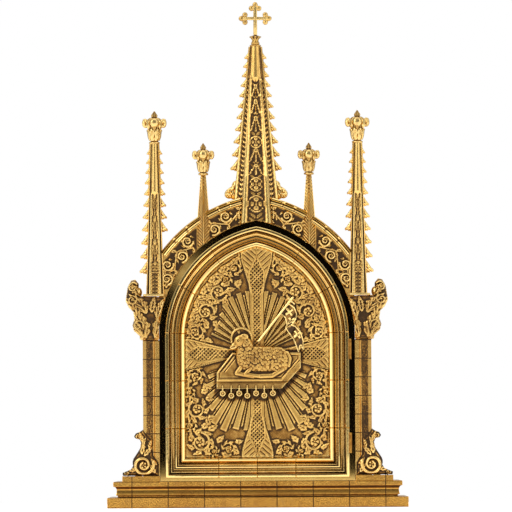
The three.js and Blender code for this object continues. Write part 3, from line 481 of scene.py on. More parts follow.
def stations(arc_steps, seams):
    """Stops round the arch, each with how deep a seam is there, from 0 to 1."""
    stops = []
    runs = [("sill", 0, 1, 12), ("right_jamb", 0, 1, 12), ("right_arc", 0, 1, arc_steps)]
    runs += [("left_arc", 1, 0, arc_steps), ("left_jamb", 1, 0, 12)]
    for kind, start, end, steps in runs:
        shares = [(start + (end - start) * i / steps, 0.0) for i in range(steps)]
        for share, spread in seams.get(kind.split("_")[-1], []):
            shares += [(share - spread, 0.0), (share, 1.0), (share + spread, 0.0)]
        shares.sort(key=lambda stop: stop[0], reverse=end < start)
        stops += [(kind, share, seam) for share, seam in shares]
    return stops


def arch_ring(bm, profile, back, stops, foot=None):
    """Sweeps a profile of (reach, height, darkness) points round the arch."""
    rows = []
    dark = []
    # Darkness from the profile: patina with painted shade in grooves, rubbed shine with a painted highlight
    # on beads.
    patina_shade_and_highlight = [point[2] for point in profile]
    for kind, share, seam in stops:
        row = []
        for reach, height, _ in profile:
            bottom = None if foot is None else foot(reach)
            x, z = arch_edge(kind, share, reach, bottom)
            sunk = 1.2 * seam if height > 0 else 0
            row.append((x, back - height + sunk, z))
        rows.append(row + row[:1])
        dark.append([min(1, 1.2 * seam + value) for value in patina_shade_and_highlight + patina_shade_and_highlight[:1]])
    rows.append(rows[0])
    dark.append(dark[0])
    add_surface(bm, np.array(rows), np.array(dark))


def shaft(bm, ring_at, z_from, z_to, rows, per_face, carve, depth=0.9):
    """A tapering shaft whose faces are carved: ring_at gives its corners at a height, and carve
    the relief by face number, place across it from -1 to 1, and height."""
    corners = len(ring_at(z_to))
    cols = corners * per_face
    q = np.linspace(0, corners, cols + 1)
    face = np.minimum(q.astype(int), corners - 1)
    local = 2 * (q - face) - 1
    feet = np.array(ring_at(z_from(0, 0) if callable(z_from) else z_from))
    base = []
    for i, s in zip(face, local):
        a = feet[i]
        b = feet[(i + 1) % corners]
        base.append(a + (b - a) * (s + 1) / 2)
    base = np.array(base)
    start = np.array([z_from(p[0], p[1]) if callable(z_from) else z_from for p in base])
    grid = np.zeros((rows, cols + 1, 3))
    heights = np.zeros((rows, cols + 1))
    for r in range(rows):
        z = start + (z_to - start) * r / (rows - 1)
        for c in range(cols + 1):
            ring = ring_at(z[c])
            a = ring[face[c]]
            b = ring[(face[c] + 1) % corners]
            t = (local[c] + 1) / 2
            grid[r, c] = (a[0] + (b[0] - a[0]) * t, a[1] + (b[1] - a[1]) * t, z[c])
        heights[r] = carve(face, local, z)
    centre = np.array(ring_at(z_to)).mean(axis=0)
    away = grid[..., :2] - centre
    away /= np.linalg.norm(away, axis=-1)[..., None]
    grid[..., :2] += away * heights[..., None]
    # Patina with painted shade in the sunk field and the hollows of the carving.
    edge = (blurred(heights, 3) - heights) / depth
    recess = np.clip(np.maximum(edge, -0.62 * heights), 0, 1)
    add_surface(bm, grid, recess)


def chamfered(x, y, half, cut):
    """The eight corners of a square with its corners cut off."""
    k = half * cut
    corners = [(-k, -half), (k, -half), (half, -k), (half, k)]
    corners += [(-dx, -dy) for dx, dy in corners]
    return [(x + dx, y + dy) for dx, dy in corners]


def crocket_row(top, bottom, count):
    """Number, height and leaf length of each crocket in a row, whose spacing widens downwards."""
    growth = 1.05
    sums = np.concatenate([[0], np.cumsum(growth ** np.arange(count))])
    heights = [top - (top - bottom) * total / sums[-1] for total in sums[:-1]]
    gaps = [heights[0] - heights[1]] + [above - z for above, z in zip(heights, heights[1:])]
    return [(k, z, 0.58 * gap) for k, (z, gap) in enumerate(zip(heights, gaps))]


def crocket(bm, x, y, z, out, reach, tall):
    """A thick leaf lying down the shaft's edge, broadest at its foot, whose tip hooks outwards."""
    path = [(-0.3, 1.6), (0.0, 1.25), (0.24, 0.86), (0.5, 0.5), (0.8, 0.26), (1.0, 0.2), (0.98, 0.02)]
    line = [(x + out * a * reach, y, z + b * tall) for a, b in path]
    widths = [0.16, 0.34, 0.5, 0.56, 0.3]
    curled_leaf(bm, line, (0, out, 0), widths, [0.14, 0.3, 0.4, 0.34, 0.18], reach, count=15)
    ball(bm, (x + out * 0.3 * reach, y, z + 0.16 * reach), (0.46 * reach, 0.5 * reach, 0.3 * reach), 10)
    for side in (1, -1):
        wing = [(-0.2, 0.1, 0.1), (0.15, 0.4, 0.3), (0.42, 0.6, 0.3), (0.6, 0.56, 0.08)]
        line = [(x + out * a * reach, y + side * b * reach, z + c * reach) for a, b, c in wing]
        across = (0, 0.6 * side, 0.8)
        curled_leaf(bm, line, across, [0.2, 0.34, 0.2], [0.18, 0.24, 0.14], reach, lobes=1, sides=7, count=7)


def ball(bm, centre, radii, segments=14):
    """A rounded boss."""
    place = Matrix.Translation(Vector(centre) * MM) @ Matrix.Diagonal((*[r * MM for r in radii], 1))
    bmesh.ops.create_uvsphere(bm, u_segments=segments, v_segments=segments // 2 + 1, radius=1.0, matrix=place)


def block(bm, lows, highs, bevel=0.8):
    """A block with softened edges."""
    size = [(b - a) * MM for a, b in zip(lows, highs)]
    middle = [(a + b) * 0.5 * MM for a, b in zip(lows, highs)]
    place = Matrix.Translation(middle) @ Matrix.Diagonal((*size, 1))
    made = bmesh.ops.create_cube(bm, size=1.0, matrix=place)
    edges = list({edge for vert in made["verts"] for edge in vert.link_edges})
    width = bevel * MM
    bmesh.ops.bevel(bm, geom=edges, offset=width, affect="EDGES", segments=2, profile=0.5, material=-1)


# Finishes


class Value:
    """A number that varies over a surface; sums on it add Math nodes."""

    def __init__(self, tree, socket):
        self.tree = tree
        self.socket = socket

    def sum(self, operation, *others):
        node = self.tree.nodes.new("ShaderNodeMath")
        node.operation = operation
        for slot, item in zip(node.inputs, others):
            if isinstance(item, Value):
                self.tree.links.new(item.socket, slot)
            else:
                slot.default_value = item
        return Value(self.tree, node.outputs[0])

    def __add__(self, other):
        return self.sum("ADD", self, other)

    __radd__ = __add__

    def __mul__(self, other):
        return self.sum("MULTIPLY", self, other)

    __rmul__ = __mul__

    def __sub__(self, other):
        return self.sum("SUBTRACT", self, other)

    def __rsub__(self, other):
        return self.sum("SUBTRACT", other, self)

    def __truediv__(self, other):
        return self.sum("DIVIDE", self, other)

    def __abs__(self):
        return self.sum("ABSOLUTE", self)

    def __mod__(self, other):
        return self.sum("FLOORED_MODULO", self, other)

    def clamp(self):
        held = self.sum("MAXIMUM", self, 0.0)
        return self.sum("MINIMUM", held, 1.0)


class Shading:
    """A node tree, one way to add any node to it, and the shader that it ends in."""

    def __init__(self, owner):
        owner.use_nodes = True
        self.tree = owner.node_tree
        self.tree.nodes.clear()

    def noise(self, place, scale, detail):
        inputs = {"Vector": place, "Scale": scale, "Detail": detail}
        return self.node("ShaderNodeTexNoise", 0, None, inputs)

    def split(self, place, axis):
        return self.node("ShaderNodeSeparateXYZ", axis, None, {0: place})

    def surface(self, inputs):
        return self.node("ShaderNodeBsdfPrincipled", 0, None, inputs)

    def end(self, shader, kind="ShaderNodeOutputMaterial"):
        out = self.tree.nodes.new(kind)
        self.tree.links.new(shader.socket, out.inputs["Surface"])

    def node(self, kind, output, settings=None, inputs=None):
        node = self.tree.nodes.new(kind)
        for key, value in (settings or {}).items():
            setattr(node, key, value)
        for key, value in (inputs or {}).items():
            if isinstance(value, Value):
                self.tree.links.new(value.socket, node.inputs[key])
            else:
                node.inputs[key].default_value = value
        return Value(self.tree, node.outputs[output])


def mixed(shading, share, first, second):
    """One colour turning into another."""
    return shading.node("ShaderNodeMix", 2, {"data_type": "RGBA"}, {0: share, 6: first, 7: second})


def brass(name, colour, roughness, patina_and_shade_amount, grain=260.0, grain_height=0.12, seams=None, lines=(), matte=None):
    """Brass whose colour is darkened in its hollows by patina and painted shade, and paled on its ridges
    by rubbed shine and a painted highlight. The number after roughness is how much patina and painted
    shade there is in all, seams (axis, origin, pitch), lines levels of dark lines, such as a joint and
    painted shade under a ledge, and matte a hammered strip."""
    settings = bpy.context.scene.tabernacle
    material = bpy.data.materials.new(name)
    shading = Shading(material)
    place = shading.node("ShaderNodeTexCoord", "Object")
    cloud = shading.noise(place, 16.0, 5.0)
    mottle = shading.noise(place, 110.0, 4.0)
    fine = shading.noise(place, grain, 3.0)
    recess = shading.node("ShaderNodeAttribute", "Fac", {"attribute_name": "recess"})
    # Ridges (recess below 0) are paled by rubbed shine with a painted highlight; hollows (above 0) are
    # darkened by patina with painted shade.
    rub_and_highlight_share = (0 - recess).clamp()
    hollow = recess.clamp()
    # Patina with painted shade in the hollows, plus real tone varying at random through the noises.
    dirt_and_shade = hollow * (0.9 + 0.5 * patina_and_shade_amount) + (cloud - 0.5) * 1.1 * patina_and_shade_amount + (mottle - 0.5) * 1.2 * patina_and_shade_amount
    dirt_and_shade = dirt_and_shade + 0.2 * patina_and_shade_amount - rub_and_highlight_share * 0.25
    relief_height = fine
    if seams:
        axis, origin, pitch = seams
        away = abs(((shading.split(place, axis) - origin * MM) % (pitch * MM)) - pitch * 0.5 * MM)
        dirt_and_shade = dirt_and_shade + (1.4 - away / (0.8 * MM)).clamp() * 1.3
    height = shading.split(place, "Z")
    for level, half, strength in lines:
        dirt_and_shade = dirt_and_shade + (1.5 - abs(height - level * MM) / (half * MM)).clamp() * strength
    if matte:
        centre, half = matte
        across = shading.split(place, "X")
        strip = (1 - (abs(abs(across) - centre * MM) - half * MM) / (0.8 * MM)).clamp()
        dirt_and_shade = dirt_and_shade + strip * (0.7 + (fine - 0.5) * 2.4)
        relief_height = fine * (0.3 + strip)
    dirt_and_shade = (dirt_and_shade * settings.patina_and_shade_strength).clamp()
    # Painted highlight with rubbed shine: the ridges turn toward the shine colour.
    pale = (rub_and_highlight_share * 0.55 + (mottle - 0.5) * 0.6).clamp()
    shade = mixed(shading, pale, [*colour, 1], [*settings.rub_and_highlight_colour, 1])
    # The amber and then the patina colour darken the hollows: patina with painted shade.
    amber = [0.52 * colour[0], 0.38 * colour[1], 0.24 * colour[2], 1]
    base = mixed(shading, (dirt_and_shade * 1.8).clamp(), shade, amber)
    base = mixed(shading, (dirt_and_shade * 1.8 - 0.7).clamp(), base, [*settings.patina_and_shade_colour, 1])
    dull = roughness * (1 + (fine - 0.5) * 0.8 - rub_and_highlight_share * 0.3) + dirt_and_shade * 0.26 * (patina_and_shade_amount + 0.15)
    inputs = {"Strength": 1.0, "Distance": grain_height * MM, "Height": relief_height}
    bump = shading.node("ShaderNodeBump", 0, None, inputs)
    metal = (1 - dirt_and_shade * 0.3).clamp()
    inputs = {"Base Color": base, "Roughness": dull.clamp(), "Metallic": metal, "Normal": bump}
    shading.end(shading.surface(inputs))


def finishes():
    """The finishes, made once and found again by name."""
    if "carved brass" in bpy.data.materials:
        return bpy.data.materials
    settings = bpy.context.scene.tabernacle
    gold = tuple(settings.brass_colour)
    pale = tuple(0.6 * c + 0.4 * d for c, d in zip(gold, settings.rub_and_highlight_colour))
    # Darker copies of the brass colour, by these shares, for the different kinds of piece.
    shares = ((0.87, 0.87, 0.87), (0.86, 0.72, 0.5), (0.82, 0.7, 0.5), (0.7, 0.68, 0.66))
    soft, warm, brown, dimmed = [tuple(c * k for c, k in zip(gold, share)) for share in shares]
    brass("carved brass", soft, 0.29, 0.65, 900.0, 0.25)
    brass("cast brass", gold, 0.26, 0.75, 700.0, 0.2)
    brass("leaf brass", dimmed, 0.24, 1.0, 700.0, 0.3)
    brass("polished brass", pale, 0.12, 0.16, 240.0, 0.02)
    brass("mirror brass", gold, 0.03, 0.0, 20.0, 0.0005)
    # Dark lines on the plinth: at 22 the joint over the slab, at 40.5 painted shade under the fillet.
    joint_and_shade_lines = [(22.0, 1.0, 1.2), (40.5, 1.2, 0.9)]
    brass("pier brass", gold, 0.2, 0.65, 420.0, 0.3, ("Z", 166.9, 37.06), matte=(214.3, 6.4))
    brass("plinth brass", brown, 0.16, 0.65, 300.0, 0.08, ("X", 2.0, 72.2), joint_and_shade_lines)
    # The slab is darker in a line along its foot.
    brass("slab brass", warm, 0.2, 0.6, 420.0, 0.16, ("X", 2.0, 72.2), [(0.0, 1.6, 0.5)])
    brass("cabinet brass", gold, 0.33, 0.45, 240.0, 0.1)
    brass("hinge brass", brown, 0.24, 1.3, 300.0, 0.05)
    return bpy.data.materials


# Settings


class TabernacleSettings(bpy.types.PropertyGroup):
    """Colours and sizes that a user may change"""

    brass_colour: bpy.props.FloatVectorProperty(
        name="Brass", description="Colour of the clean metal", default=(0.74, 0.46, 0.13),
        subtype="COLOR", min=0, max=1,
    )
    # Colour of the ridges' rubbed shine together with their painted highlight.
    rub_and_highlight_colour: bpy.props.FloatVectorProperty(
        name="Shine", description="Colour of the rubbed ridges", default=(0.96, 0.72, 0.3),
        subtype="COLOR", min=0, max=1,
    )
    # Colour of the patina together with the painted shade in the hollows.
    patina_and_shade_colour: bpy.props.FloatVectorProperty(
        name="Patina", description="Colour that gathers in the hollows", default=(0.05, 0.024, 0.007),
        subtype="COLOR", min=0, max=1,
    )
    # Strength of the patina together with the painted shade in the hollows.
    patina_and_shade_strength: bpy.props.FloatProperty(
        name="Patina strength", description="How dark the hollows are", default=1.0, min=0, max=2,
    )
    ray_height: bpy.props.FloatProperty(
        name="Ray height", description="Height of the rays behind the lamb", default=0.0026, unit="LENGTH",
    )
    foliage_height: bpy.props.FloatProperty(
        name="Foliage height", description="Height of the scrolls on the door", default=0.004, unit="LENGTH",
    )
    camera_distance: bpy.props.FloatProperty(
        name="Camera distance", description="From the camera to the door", default=14.6, unit="LENGTH",
    )


# Door


RAY_PITCH = 8.2  # degrees between the broad rays
UPPER_REACH = ([0, 13, 23, 32, 42, 51, 62], [65, 65, 64.7, 61.7, 55, 50.5, 50.8])
LOWER_REACH = ([12, 16, 23, 30, 38, 47, 56, 66], [77, 77.5, 82.7, 86, 75.5, 66.5, 58.4, 54])
# Half widths of the cross at distances from its middle
UPRIGHT_FLARE = ([0, 62, 72, 93, 99], [7.4, 7.4, 9.0, 15.5, 16.5])
ARM_FLARE = ([0, 28, 44, 66, 71], [5.6, 5.6, 9.5, 15.5, 16])
# Centre, radius, starting angle and turns of each scroll
DOOR_SCROLLS = [
    ((60.5, -54.3), 9.0, 1.2, -1.5), ((57.0, -87.0), 10.0, 1.6, 1.5), ((28.5, -93.5), 6.0, 0.4, 1.4),
    ((61.5, -20.5), 7.2, 0.5, 1.4), ((61.0, 22.5), 7.5, 2.2, 1.4), ((51.0, 43.5), 8.8, 3.6, -1.5),
    ((38.5, 62.5), 9.2, 3.4, 1.5), ((22.0, 86.5), 6.0, 4.2, -1.3), ((44.0, -96.5), 4.5, 1.0, -1.3),
    ((67.5, -37.5), 4.6, 2.0, 1.3), ((66.5, -70.5), 4.8, 2.5, 1.3), ((30.5, 76.0), 5.2, 1.0, 1.3),
    ((60.0, 34.0), 4.6, 0.0, -1.3), ((46.5, 53.5), 3.6, 0.0, 1.2), ((14.0, 97.5), 4.0, 0.0, 1.2),
]
DOOR_VINES = [
    [(50, -99), (66, -80), (69, -60), (67, -46), (69, -30), (67, -12)],
    [(67, 13), (68, 27), (60, 44), (50, 57), (38, 73), (22, 95), (10, 104)],
]
# Root, direction, length and half width of each leaf
DOOR_LEAVES = [
    ((49, -76), 2.3, 11, 3.0), ((50, -64), 2.7, 10, 2.8), ((52, -44), 2.9, 9, 2.6),
    ((18, -98), 0.3, 9, 2.6), ((40, -88), 2.0, 10, 2.6), ((52, -30), 3.4, 8, 2.4),
    ((44, 34), 3.8, 9, 2.6), ((32, 56), 4.0, 8, 2.4), ((22, 74), 3.9, 9, 2.4), ((52, 16), 3.3, 9, 2.4),
    ((12, 88), 1.4, 12, 2.6), ((68, 30), 1.8, 8, 2.2), ((50, -36), 0.9, 9, 3.0), ((56, -38), 2.5, 8, 2.6),
    ((47, -70), 0.9, 10, 3.0), ((54, -74), 1.9, 9, 3.0), ((48, 27), 0.7, 9, 3.0), ((20, 68), 1.8, 9, 3.0),
    ((30, 64), 2.6, 9, 2.6), ((66, -8), 4.3, 9, 2.6), ((36, -98), 3.4, 9, 2.6), ((22, -88), 2.6, 8, 2.4),
    ((58, 12), 2.6, 9, 2.6), ((34, 84), 3.6, 8, 2.4),
]


def rays(a, b):
    """Broad flat rays with thin ones between, in fans above and below the arms."""
    radius = np.hypot(a, b)
    height = np.zeros_like(a)
    for table, tilt, limit in ((UPPER_REACH, b, 66), (LOWER_REACH, -b, 70)):
        angle = np.degrees(np.arctan2(a, tilt))
        centre = np.round(angle / RAY_PITCH) * RAY_PITCH
        reach = np.interp(centre, *table)
        broad = smooth((2.75 - np.abs(angle - centre)) / 0.8) * smooth((reach - radius) / 1.4)
        between = (np.floor(angle / RAY_PITCH) + 0.5) * RAY_PITCH
        thin = 0.6 * smooth((0.95 - np.abs(angle - between)) / 0.6) * smooth((reach * 0.95 - radius) / 1.4)
        shown = (tilt > 0) & (angle < limit) & (radius > 10)
        height = over(height, shown, np.maximum(broad, thin))
    return height


def cross_depth(a, b):
    """Distance inside the flared cross, in panel units."""
    upright = np.interp(np.abs(b), *UPRIGHT_FLARE) - a
    arms = np.interp(a, *ARM_FLARE) - np.abs(b - 1)
    return np.maximum(upright, arms)


def carve_cross(a, b, depth):
    """The cross: a rim, an almond panel of small sunk lozenges and leaves in the corners."""
    upright = np.abs(a) <= np.interp(np.abs(b), *UPRIGHT_FLARE) + 0.5
    along = np.where(upright, np.abs(b), a)
    across = np.where(upright, a, np.abs(b - 1))
    long = np.where(upright, 98.0, 70.0)
    swell = np.where(upright, 76.0, 53.0)
    pointed = np.interp(along - swell, [-16, -6, 6, 22], [4.6, 7.0, 8.0, 0.6])
    almond = np.minimum(pointed, np.clip(long - along, 0, 99)) - across
    plate = 2.2 * smooth(depth / 0.8) + 0.9 * ridge(depth - 1.2, 0.8) + 0.7 * ridge(almond, 0.8)
    holes = 1.9 * pierced(a, b, 3.9) * smooth((almond - 0.9) / 0.7)
    corners = smooth((-almond - 0.7) / 0.6) * smooth((depth - 2) / 0.8)
    leafy = 0.9 * herringbone(across, along, 5.2, 0.9) * corners
    return plate + holes + leafy


def arch_leaves():
    """Leaves laid along the panel's arched edge."""
    leaves = []
    for k in range(15):
        share = 0.02 + 0.062 * k
        x, z = arch_edge("right_arc", share, -FRAME_WIDTH - (7 if k % 2 else 15))
        ahead_x, ahead_z = arch_edge("right_arc", share + 0.02, -FRAME_WIDTH - 10)
        lean = math.atan2(ahead_z - z, ahead_x - x)
        leaves.append((panel_place(x, z), lean, 10.5, 3.2))
    return leaves


def carve_door(x, z):
    """The whole panel: rays, foliage, cross and a stippled ground."""
    settings = bpy.context.scene.tabernacle
    a, b = panel_place(np.abs(x), z)
    height = settings.ray_height / MM * rays(a, b)
    foliage = np.zeros_like(a)
    for centre, radius, start, turns in DOOR_SCROLLS:
        near = (np.abs(a - centre[0]) < 2.2 * radius) & (np.abs(b - centre[1]) < 2.2 * radius)
        foliage[near] = np.maximum(foliage[near], scroll(a[near], b[near], centre, radius, start, turns))
    for points in DOOR_VINES:
        foliage = np.maximum(foliage, 0.5 * vine(a, b, points, 1.3))
    for root, direction, length, width in DOOR_LEAVES + arch_leaves():
        near = (np.abs(a - root[0]) < 1.5 * length) & (np.abs(b - root[1]) < 1.5 * length)
        shape = 0.8 * leaf(a[near], b[near], root, direction, length, 1.35 * width, 0.3, 3)
        foliage[near] = np.maximum(foliage[near], shape)
    depth = cross_depth(a, b)
    height = np.maximum(height, settings.foliage_height / MM * foliage)
    height = np.where(depth > 0, np.maximum(carve_cross(a, b, depth), 0.25 * height), height)
    stipple = 0.3 * np.sin(x * 2.3 + 1.3 * np.sin(z * 0.9)) * np.sin(z * 2.1 + np.sin(x * 1.1))
    return np.clip(height + stipple * (height < 0.5), -0.3, 4.6)


BOOK_OUTLINE = [(-41, -40), (22, -40), (44, -16), (44, 3), (-26, 3), (-41, -19)]
SEALS = [(place, -38.5 - 2.2 * (k % 2)) for k, place in enumerate([-34.5, -26, -18, -10, -1.2, 7, 15.6])]


def shaded_door(x, z, height):
    """Painted shadow under the book, round its seals, round the lamb's body and along the frame's edge, and a
    little darkness over the whole panel that grows into painted shade on the low brown ground.
    """
    a, b = panel_place(x, z)
    book = smooth(1 + inside_depth(BOOK_OUTLINE, a, b) / 4.5)
    seals = np.zeros_like(a)
    for place, drop in SEALS:
        seals = np.maximum(seals, smooth(1.8 - np.hypot(a - place, b - drop + 1) / 4.2))
    body = smooth(1.5 - np.hypot((a - 3) / 30, (b + 1) / 20) * 1.1) * 0.6
    ground = 0.14 + 0.15 * smooth(1 - height / 1.5)
    rim = np.minimum(PANEL_HALF - np.abs(x), z - DOOR_BOTTOM - FRAME_WIDTH)
    rim = np.where(z > SPRINGING, -FRAME_WIDTH - arch_reach(x, z), rim)
    edge = 0.9 * smooth(1 - rim / 4.5)
    return np.maximum.reduce([book, seals, body, ground, edge])


class TABERNACLE_OT_door_panel(bpy.types.Operator):
    """Carve the door's panel: cross, rays and scrolls"""

    bl_idname = "tabernacle.door_panel"
    bl_label = "Door panel"

    def execute(self, context):
        bm = new_bmesh()

        def keep(x, z, height):
            return (z < SPRINGING) | (arch_reach(x, z) < -FRAME_WIDTH + 1.2)

        ranges = ((-PANEL_HALF, PANEL_HALF), (low("door_panel", 2), high("door_panel", 2)))
        relief(bm, *ranges, 1.15, carve_door, PANEL_GROUND, PANEL_BACK, keep, 1.9, shaded_door)
        finished("carved_door_panel", bm, "carved brass", "antique_brass", "door_panel", depth=1.6)
        return {"FINISHED"}


BOOK_COVER = [(-40.5, -26), (25, -26), (43.5, -5), (43.5, 2), (-25, 2), (-40.5, -17.5)]
BOOK_EDGE = [(-40.5, -34), (24.5, -34), (43.5, -13.5), (43.5, -5), (25, -26), (-40.5, -26)]
HALO = (-15.5, 16.5)


def dome(a, b, centre, radii, tilt=0.0, power=2.0):
    """A rounded boss, 1 at its middle and 0 at its edge, and less than 0 outside."""
    da = a - centre[0]
    db = b - centre[1]
    u = (da * math.cos(tilt) + db * math.sin(tilt)) / radii[0]
    v = (-da * math.sin(tilt) + db * math.cos(tilt)) / radii[1]
    far = np.abs(u) ** power + np.abs(v) ** power
    return np.where(far < 1, np.sqrt(np.clip(1 - far, 0, 1)), -1)


def limb(a, b, points, width):
    """A rounded leg through points, less than 0 outside it."""
    height = vine(a, b, points, width)
    return np.where(height > 0, height, -1)


def wool(a, b):
    """Small irregular curls."""
    pitch = 2.6
    best = np.zeros_like(a)
    row = np.floor(b / pitch)
    column = np.floor(a / pitch)
    for i in (-1, 0, 1):
        for j in (-1, 0, 1):
            ci = column + i
            cj = row + j
            one = (np.sin(ci * 127.1 + cj * 311.7) * 43758.5) % 1
            two = (np.sin(ci * 269.5 + cj * 183.3) * 24634.6) % 1
            distance = np.hypot(a - (ci + one) * pitch, b - (cj + two) * pitch)
            best = np.maximum(best, (0.6 + 0.4 * two) * ridge(distance, 1.5) - 0.5 * ridge(distance, 0.5))
    return best


def carve_lamb(x, z):
    """The book, its seals, the halo and the lamb, from the ground upwards."""
    a, b = panel_place(x, z)
    cover = inside_depth(BOOK_COVER, a, b)
    edge = inside_depth(BOOK_EDGE, a, b)
    top = 8 + 4 * (2 - b) / 28 + 0.9 * ridge(cover - 1.1, 0.9) - 0.9 * ridge(cover - 3.0, 0.7)
    slope = a + 40.5 - (b + 17.5) * 0.8
    top = top + np.where((b > -17) & (slope < 9), 0.9 * np.sin(slope * 1.5), 0)
    pages = 10.0 + 0.5 * np.sin(b * 5.2) + 1.6 * smooth((np.abs(b + 30) - 3) / 0.6)
    height = np.where(cover > -0.1, top, 0)
    height = np.where((edge > 0) & (cover < 0), pages, height)
    for place, drop in SEALS:
        cord = limb(a, b, [(place, -31), (place, drop)], 0.75)
        height = over(height, cord > 0, 11.4 + cord)
        rho = np.hypot(a - place, b - drop)
        face = 12.4 + 0.9 * ridge(rho - 2.3, 0.6) + 0.7 * ridge(rho, 0.9) - 0.5 * ridge(rho - 1.4, 0.4)
        height = over(height, rho < 3.1, face)
    aside = a - HALO[0]
    above = b - HALO[1]
    halo = np.hypot(aside, above)
    spoke = np.abs(np.sin(2 * (np.arctan2(above, aside) - 0.4)))
    ring = 5.0 + 2.2 * ridge(halo - 10.0, 1.3) + 1.4 * smooth((0.35 - spoke) / 0.1)
    height = over(height, halo < 11.3, ring)
    curls = 1.9 * wool(a, b)
    fleece = [
        ((4.5, -4.5), (24, 13), 0.0, 8.5, 8.0, 2.6), ((20.5, -5.5), (11.5, 13.5), 0.1, 9.5, 8.0, 2.2),
        ((-12.5, -1.5), (8.5, 14), 0.1, 9.5, 8.5, 2.2), ((-10.5, 9.5), (6.5, 8.5), 0.35, 10.5, 7.0, 2.0),
    ]
    for centre, radii, tilt, lift, swell, power in fleece:
        shape = dome(a, b, centre, radii, tilt, power)
        full = lift + swell * shape + curls * np.sqrt(np.clip(shape, 0, 1))
        height = over(height, shape > 0, full)
    for points, width, lift in (
        ([(-15, -11), (-20.5, -18.5), (-4, -21.5)], 2.2, 12.0),
        ([(-6, -13), (-12, -19.5), (4, -21.8)], 2.0, 13.0),
        ([(25, -15), (15, -21), (3, -21.5)], 2.3, 13.5), ([(30, 2), (33, -4), (31.5, -11)], 1.8, 11.0),
    ):
        leg = limb(a, b, points, width)
        height = over(height, leg > 0, lift + 3 * leg)
    head = dome(a, b, (-16.5, 14.0), (7.0, 5.6), 0.6)
    muzzle = dome(a, b, (-22.0, 9.6), (6.0, 3.3), 0.6)
    cap = dome(a, b, (-13.0, 17.5), (4.6, 3.6), 0.2)
    height = over(height, cap > 0, 14.5 + 3.5 * cap + curls * 0.7)
    height = over(height, head > 0, 13.5 + 5 * head)
    height = over(height, muzzle > 0, 13 + 4.2 * muzzle)
    ear = leaf(a, b, (-15.0, 16.0), -0.75, 9.5, 2.6, 0.1, 1)
    height = over(height, ear > 0.1, 15.5 + 3.2 * ear)
    eye = np.hypot(a + 18.6, b - 14.2)
    height = height - 2.2 * ridge(eye, 1.3) + 1.9 * ridge(eye, 0.7)
    mouth = limb(a, b, [(-27, 7.0), (-22.5, 8.2)], 0.55)
    nostril = np.hypot(a + 26, b - 9.6)
    return height - np.where(mouth > 0, 1.2, 0) - 1.2 * ridge(nostril, 0.7)


class TABERNACLE_OT_lamb(bpy.types.Operator):
    """Model the lamb lying on the book with its seven seals"""

    bl_idname = "tabernacle.lamb"
    bl_label = "Lamb on book"

    def execute(self, context):
        bm = new_bmesh()
        ranges = around("lamb_on_book", 3, 4, 6)
        ground = PANEL_GROUND - 0.3
        # Darkens the whole lamb a little, slightly more towards the ground.
        shade = dark_ground(60.0, 0.24)
        relief(bm, *ranges, 0.62, carve_lamb, ground, ground, lambda x, z, h: h > 1.0, 3.2, shade)
        finished(
            "lamb_lying_on_book", bm, "carved brass", "antique_brass", "lamb_on_book",
            sharp=70, depth=1.0,
        )
        return {"FINISHED"}


FLAG = [
    (23, 41), (28, 49), (33, 51), (38, 47), (40.5, 41), (39.5, 35), (36, 30), (31, 25), (27, 24),
    (29.5, 30), (28, 36),
]
TAIL = [
    (28, 27), (34, 30), (38.5, 29), (44, 23), (47, 13), (46.5, 3), (43.5, 9), (41.5, 0.5), (38.5, 9),
    (36, 15), (31, 22),
]
STAFF = [(-2, 9), (36, 57)]
FLAG_CROSSES = [(32.5, 42.5), (34.5, 33.5), (40.5, 20.0)]


def flag_cross(a, b, place):
    """Below 1 inside a small tilted cross."""
    u = np.abs((a - place[0]) * 0.8 + (b - place[1]) * 0.6)
    v = np.abs((b - place[1]) * 0.8 - (a - place[0]) * 0.6)
    return np.minimum(np.maximum(u / 4.2, v / 0.9), np.maximum(u / 0.9, v / 4.2))


def shaded_banner(x, z, height):
    """Painted dark reflection on the flag between its bright rim, its crosses and the staff, varied along the
    waves as painted shade.
    """
    a, b = panel_place(x, z)
    dark_reflection = smooth((np.maximum(inside_depth(FLAG, a, b), inside_depth(TAIL, a, b)) - 0.9) / 0.7)
    for place in FLAG_CROSSES:
        dark_reflection = np.where(flag_cross(a, b, place) < 1.1, 0, dark_reflection)
    dark_reflection = np.where(limb(a, b, STAFF, 1.3) > 0, 0, dark_reflection)
    # Painted shade, darker and lighter along the waves.
    return dark_reflection * (0.78 + 0.2 * np.sin((a - 0.6 * b) * 0.36 + 1.2))


def carve_banner(x, z):
    """The waving flag with its tail, the staff and the short bar across it."""
    a, b = panel_place(x, z)
    flag = inside_depth(FLAG, a, b)
    tail = inside_depth(TAIL, a, b)
    wave = 1.5 * np.sin((a - 0.6 * b) * 0.36)
    height = np.where(flag > 0, 4.2 + wave + 0.7 * ridge(flag - 0.6, 0.6), 0)
    height = over(height, tail > 0, 3.0 - wave + 0.7 * ridge(tail - 0.6, 0.6))
    for place in FLAG_CROSSES:
        height = height + np.where((flag_cross(a, b, place) < 1) & (height > 0.5), 0.8, 0)
    staff = limb(a, b, STAFF, 1.15)
    height = over(height, (staff > 0) & (b > 13.2), 5.5 + 2 * staff)
    bar = limb(a, b, [(31.5, 56), (37.5, 50.5)], 0.95)
    return over(height, bar > 0, 5.5 + 1.6 * bar)


class TABERNACLE_OT_banner(bpy.types.Operator):
    """Model the polished banner on its staff"""

    bl_idname = "tabernacle.banner"
    bl_label = "Banner"

    def execute(self, context):
        bm = new_bmesh()
        ground = PANEL_GROUND - 7
        ranges = around("banner", 3, 3, 3)
        relief(
            bm, *ranges, 0.7, carve_banner, ground, ground + 0.4, lambda x, z, h: h > 0.3, 2.5, shaded_banner,
        )
        finished("banner_on_staff", bm, "polished brass", "polished_brass", "banner", sharp=60)
        return {"FINISHED"}


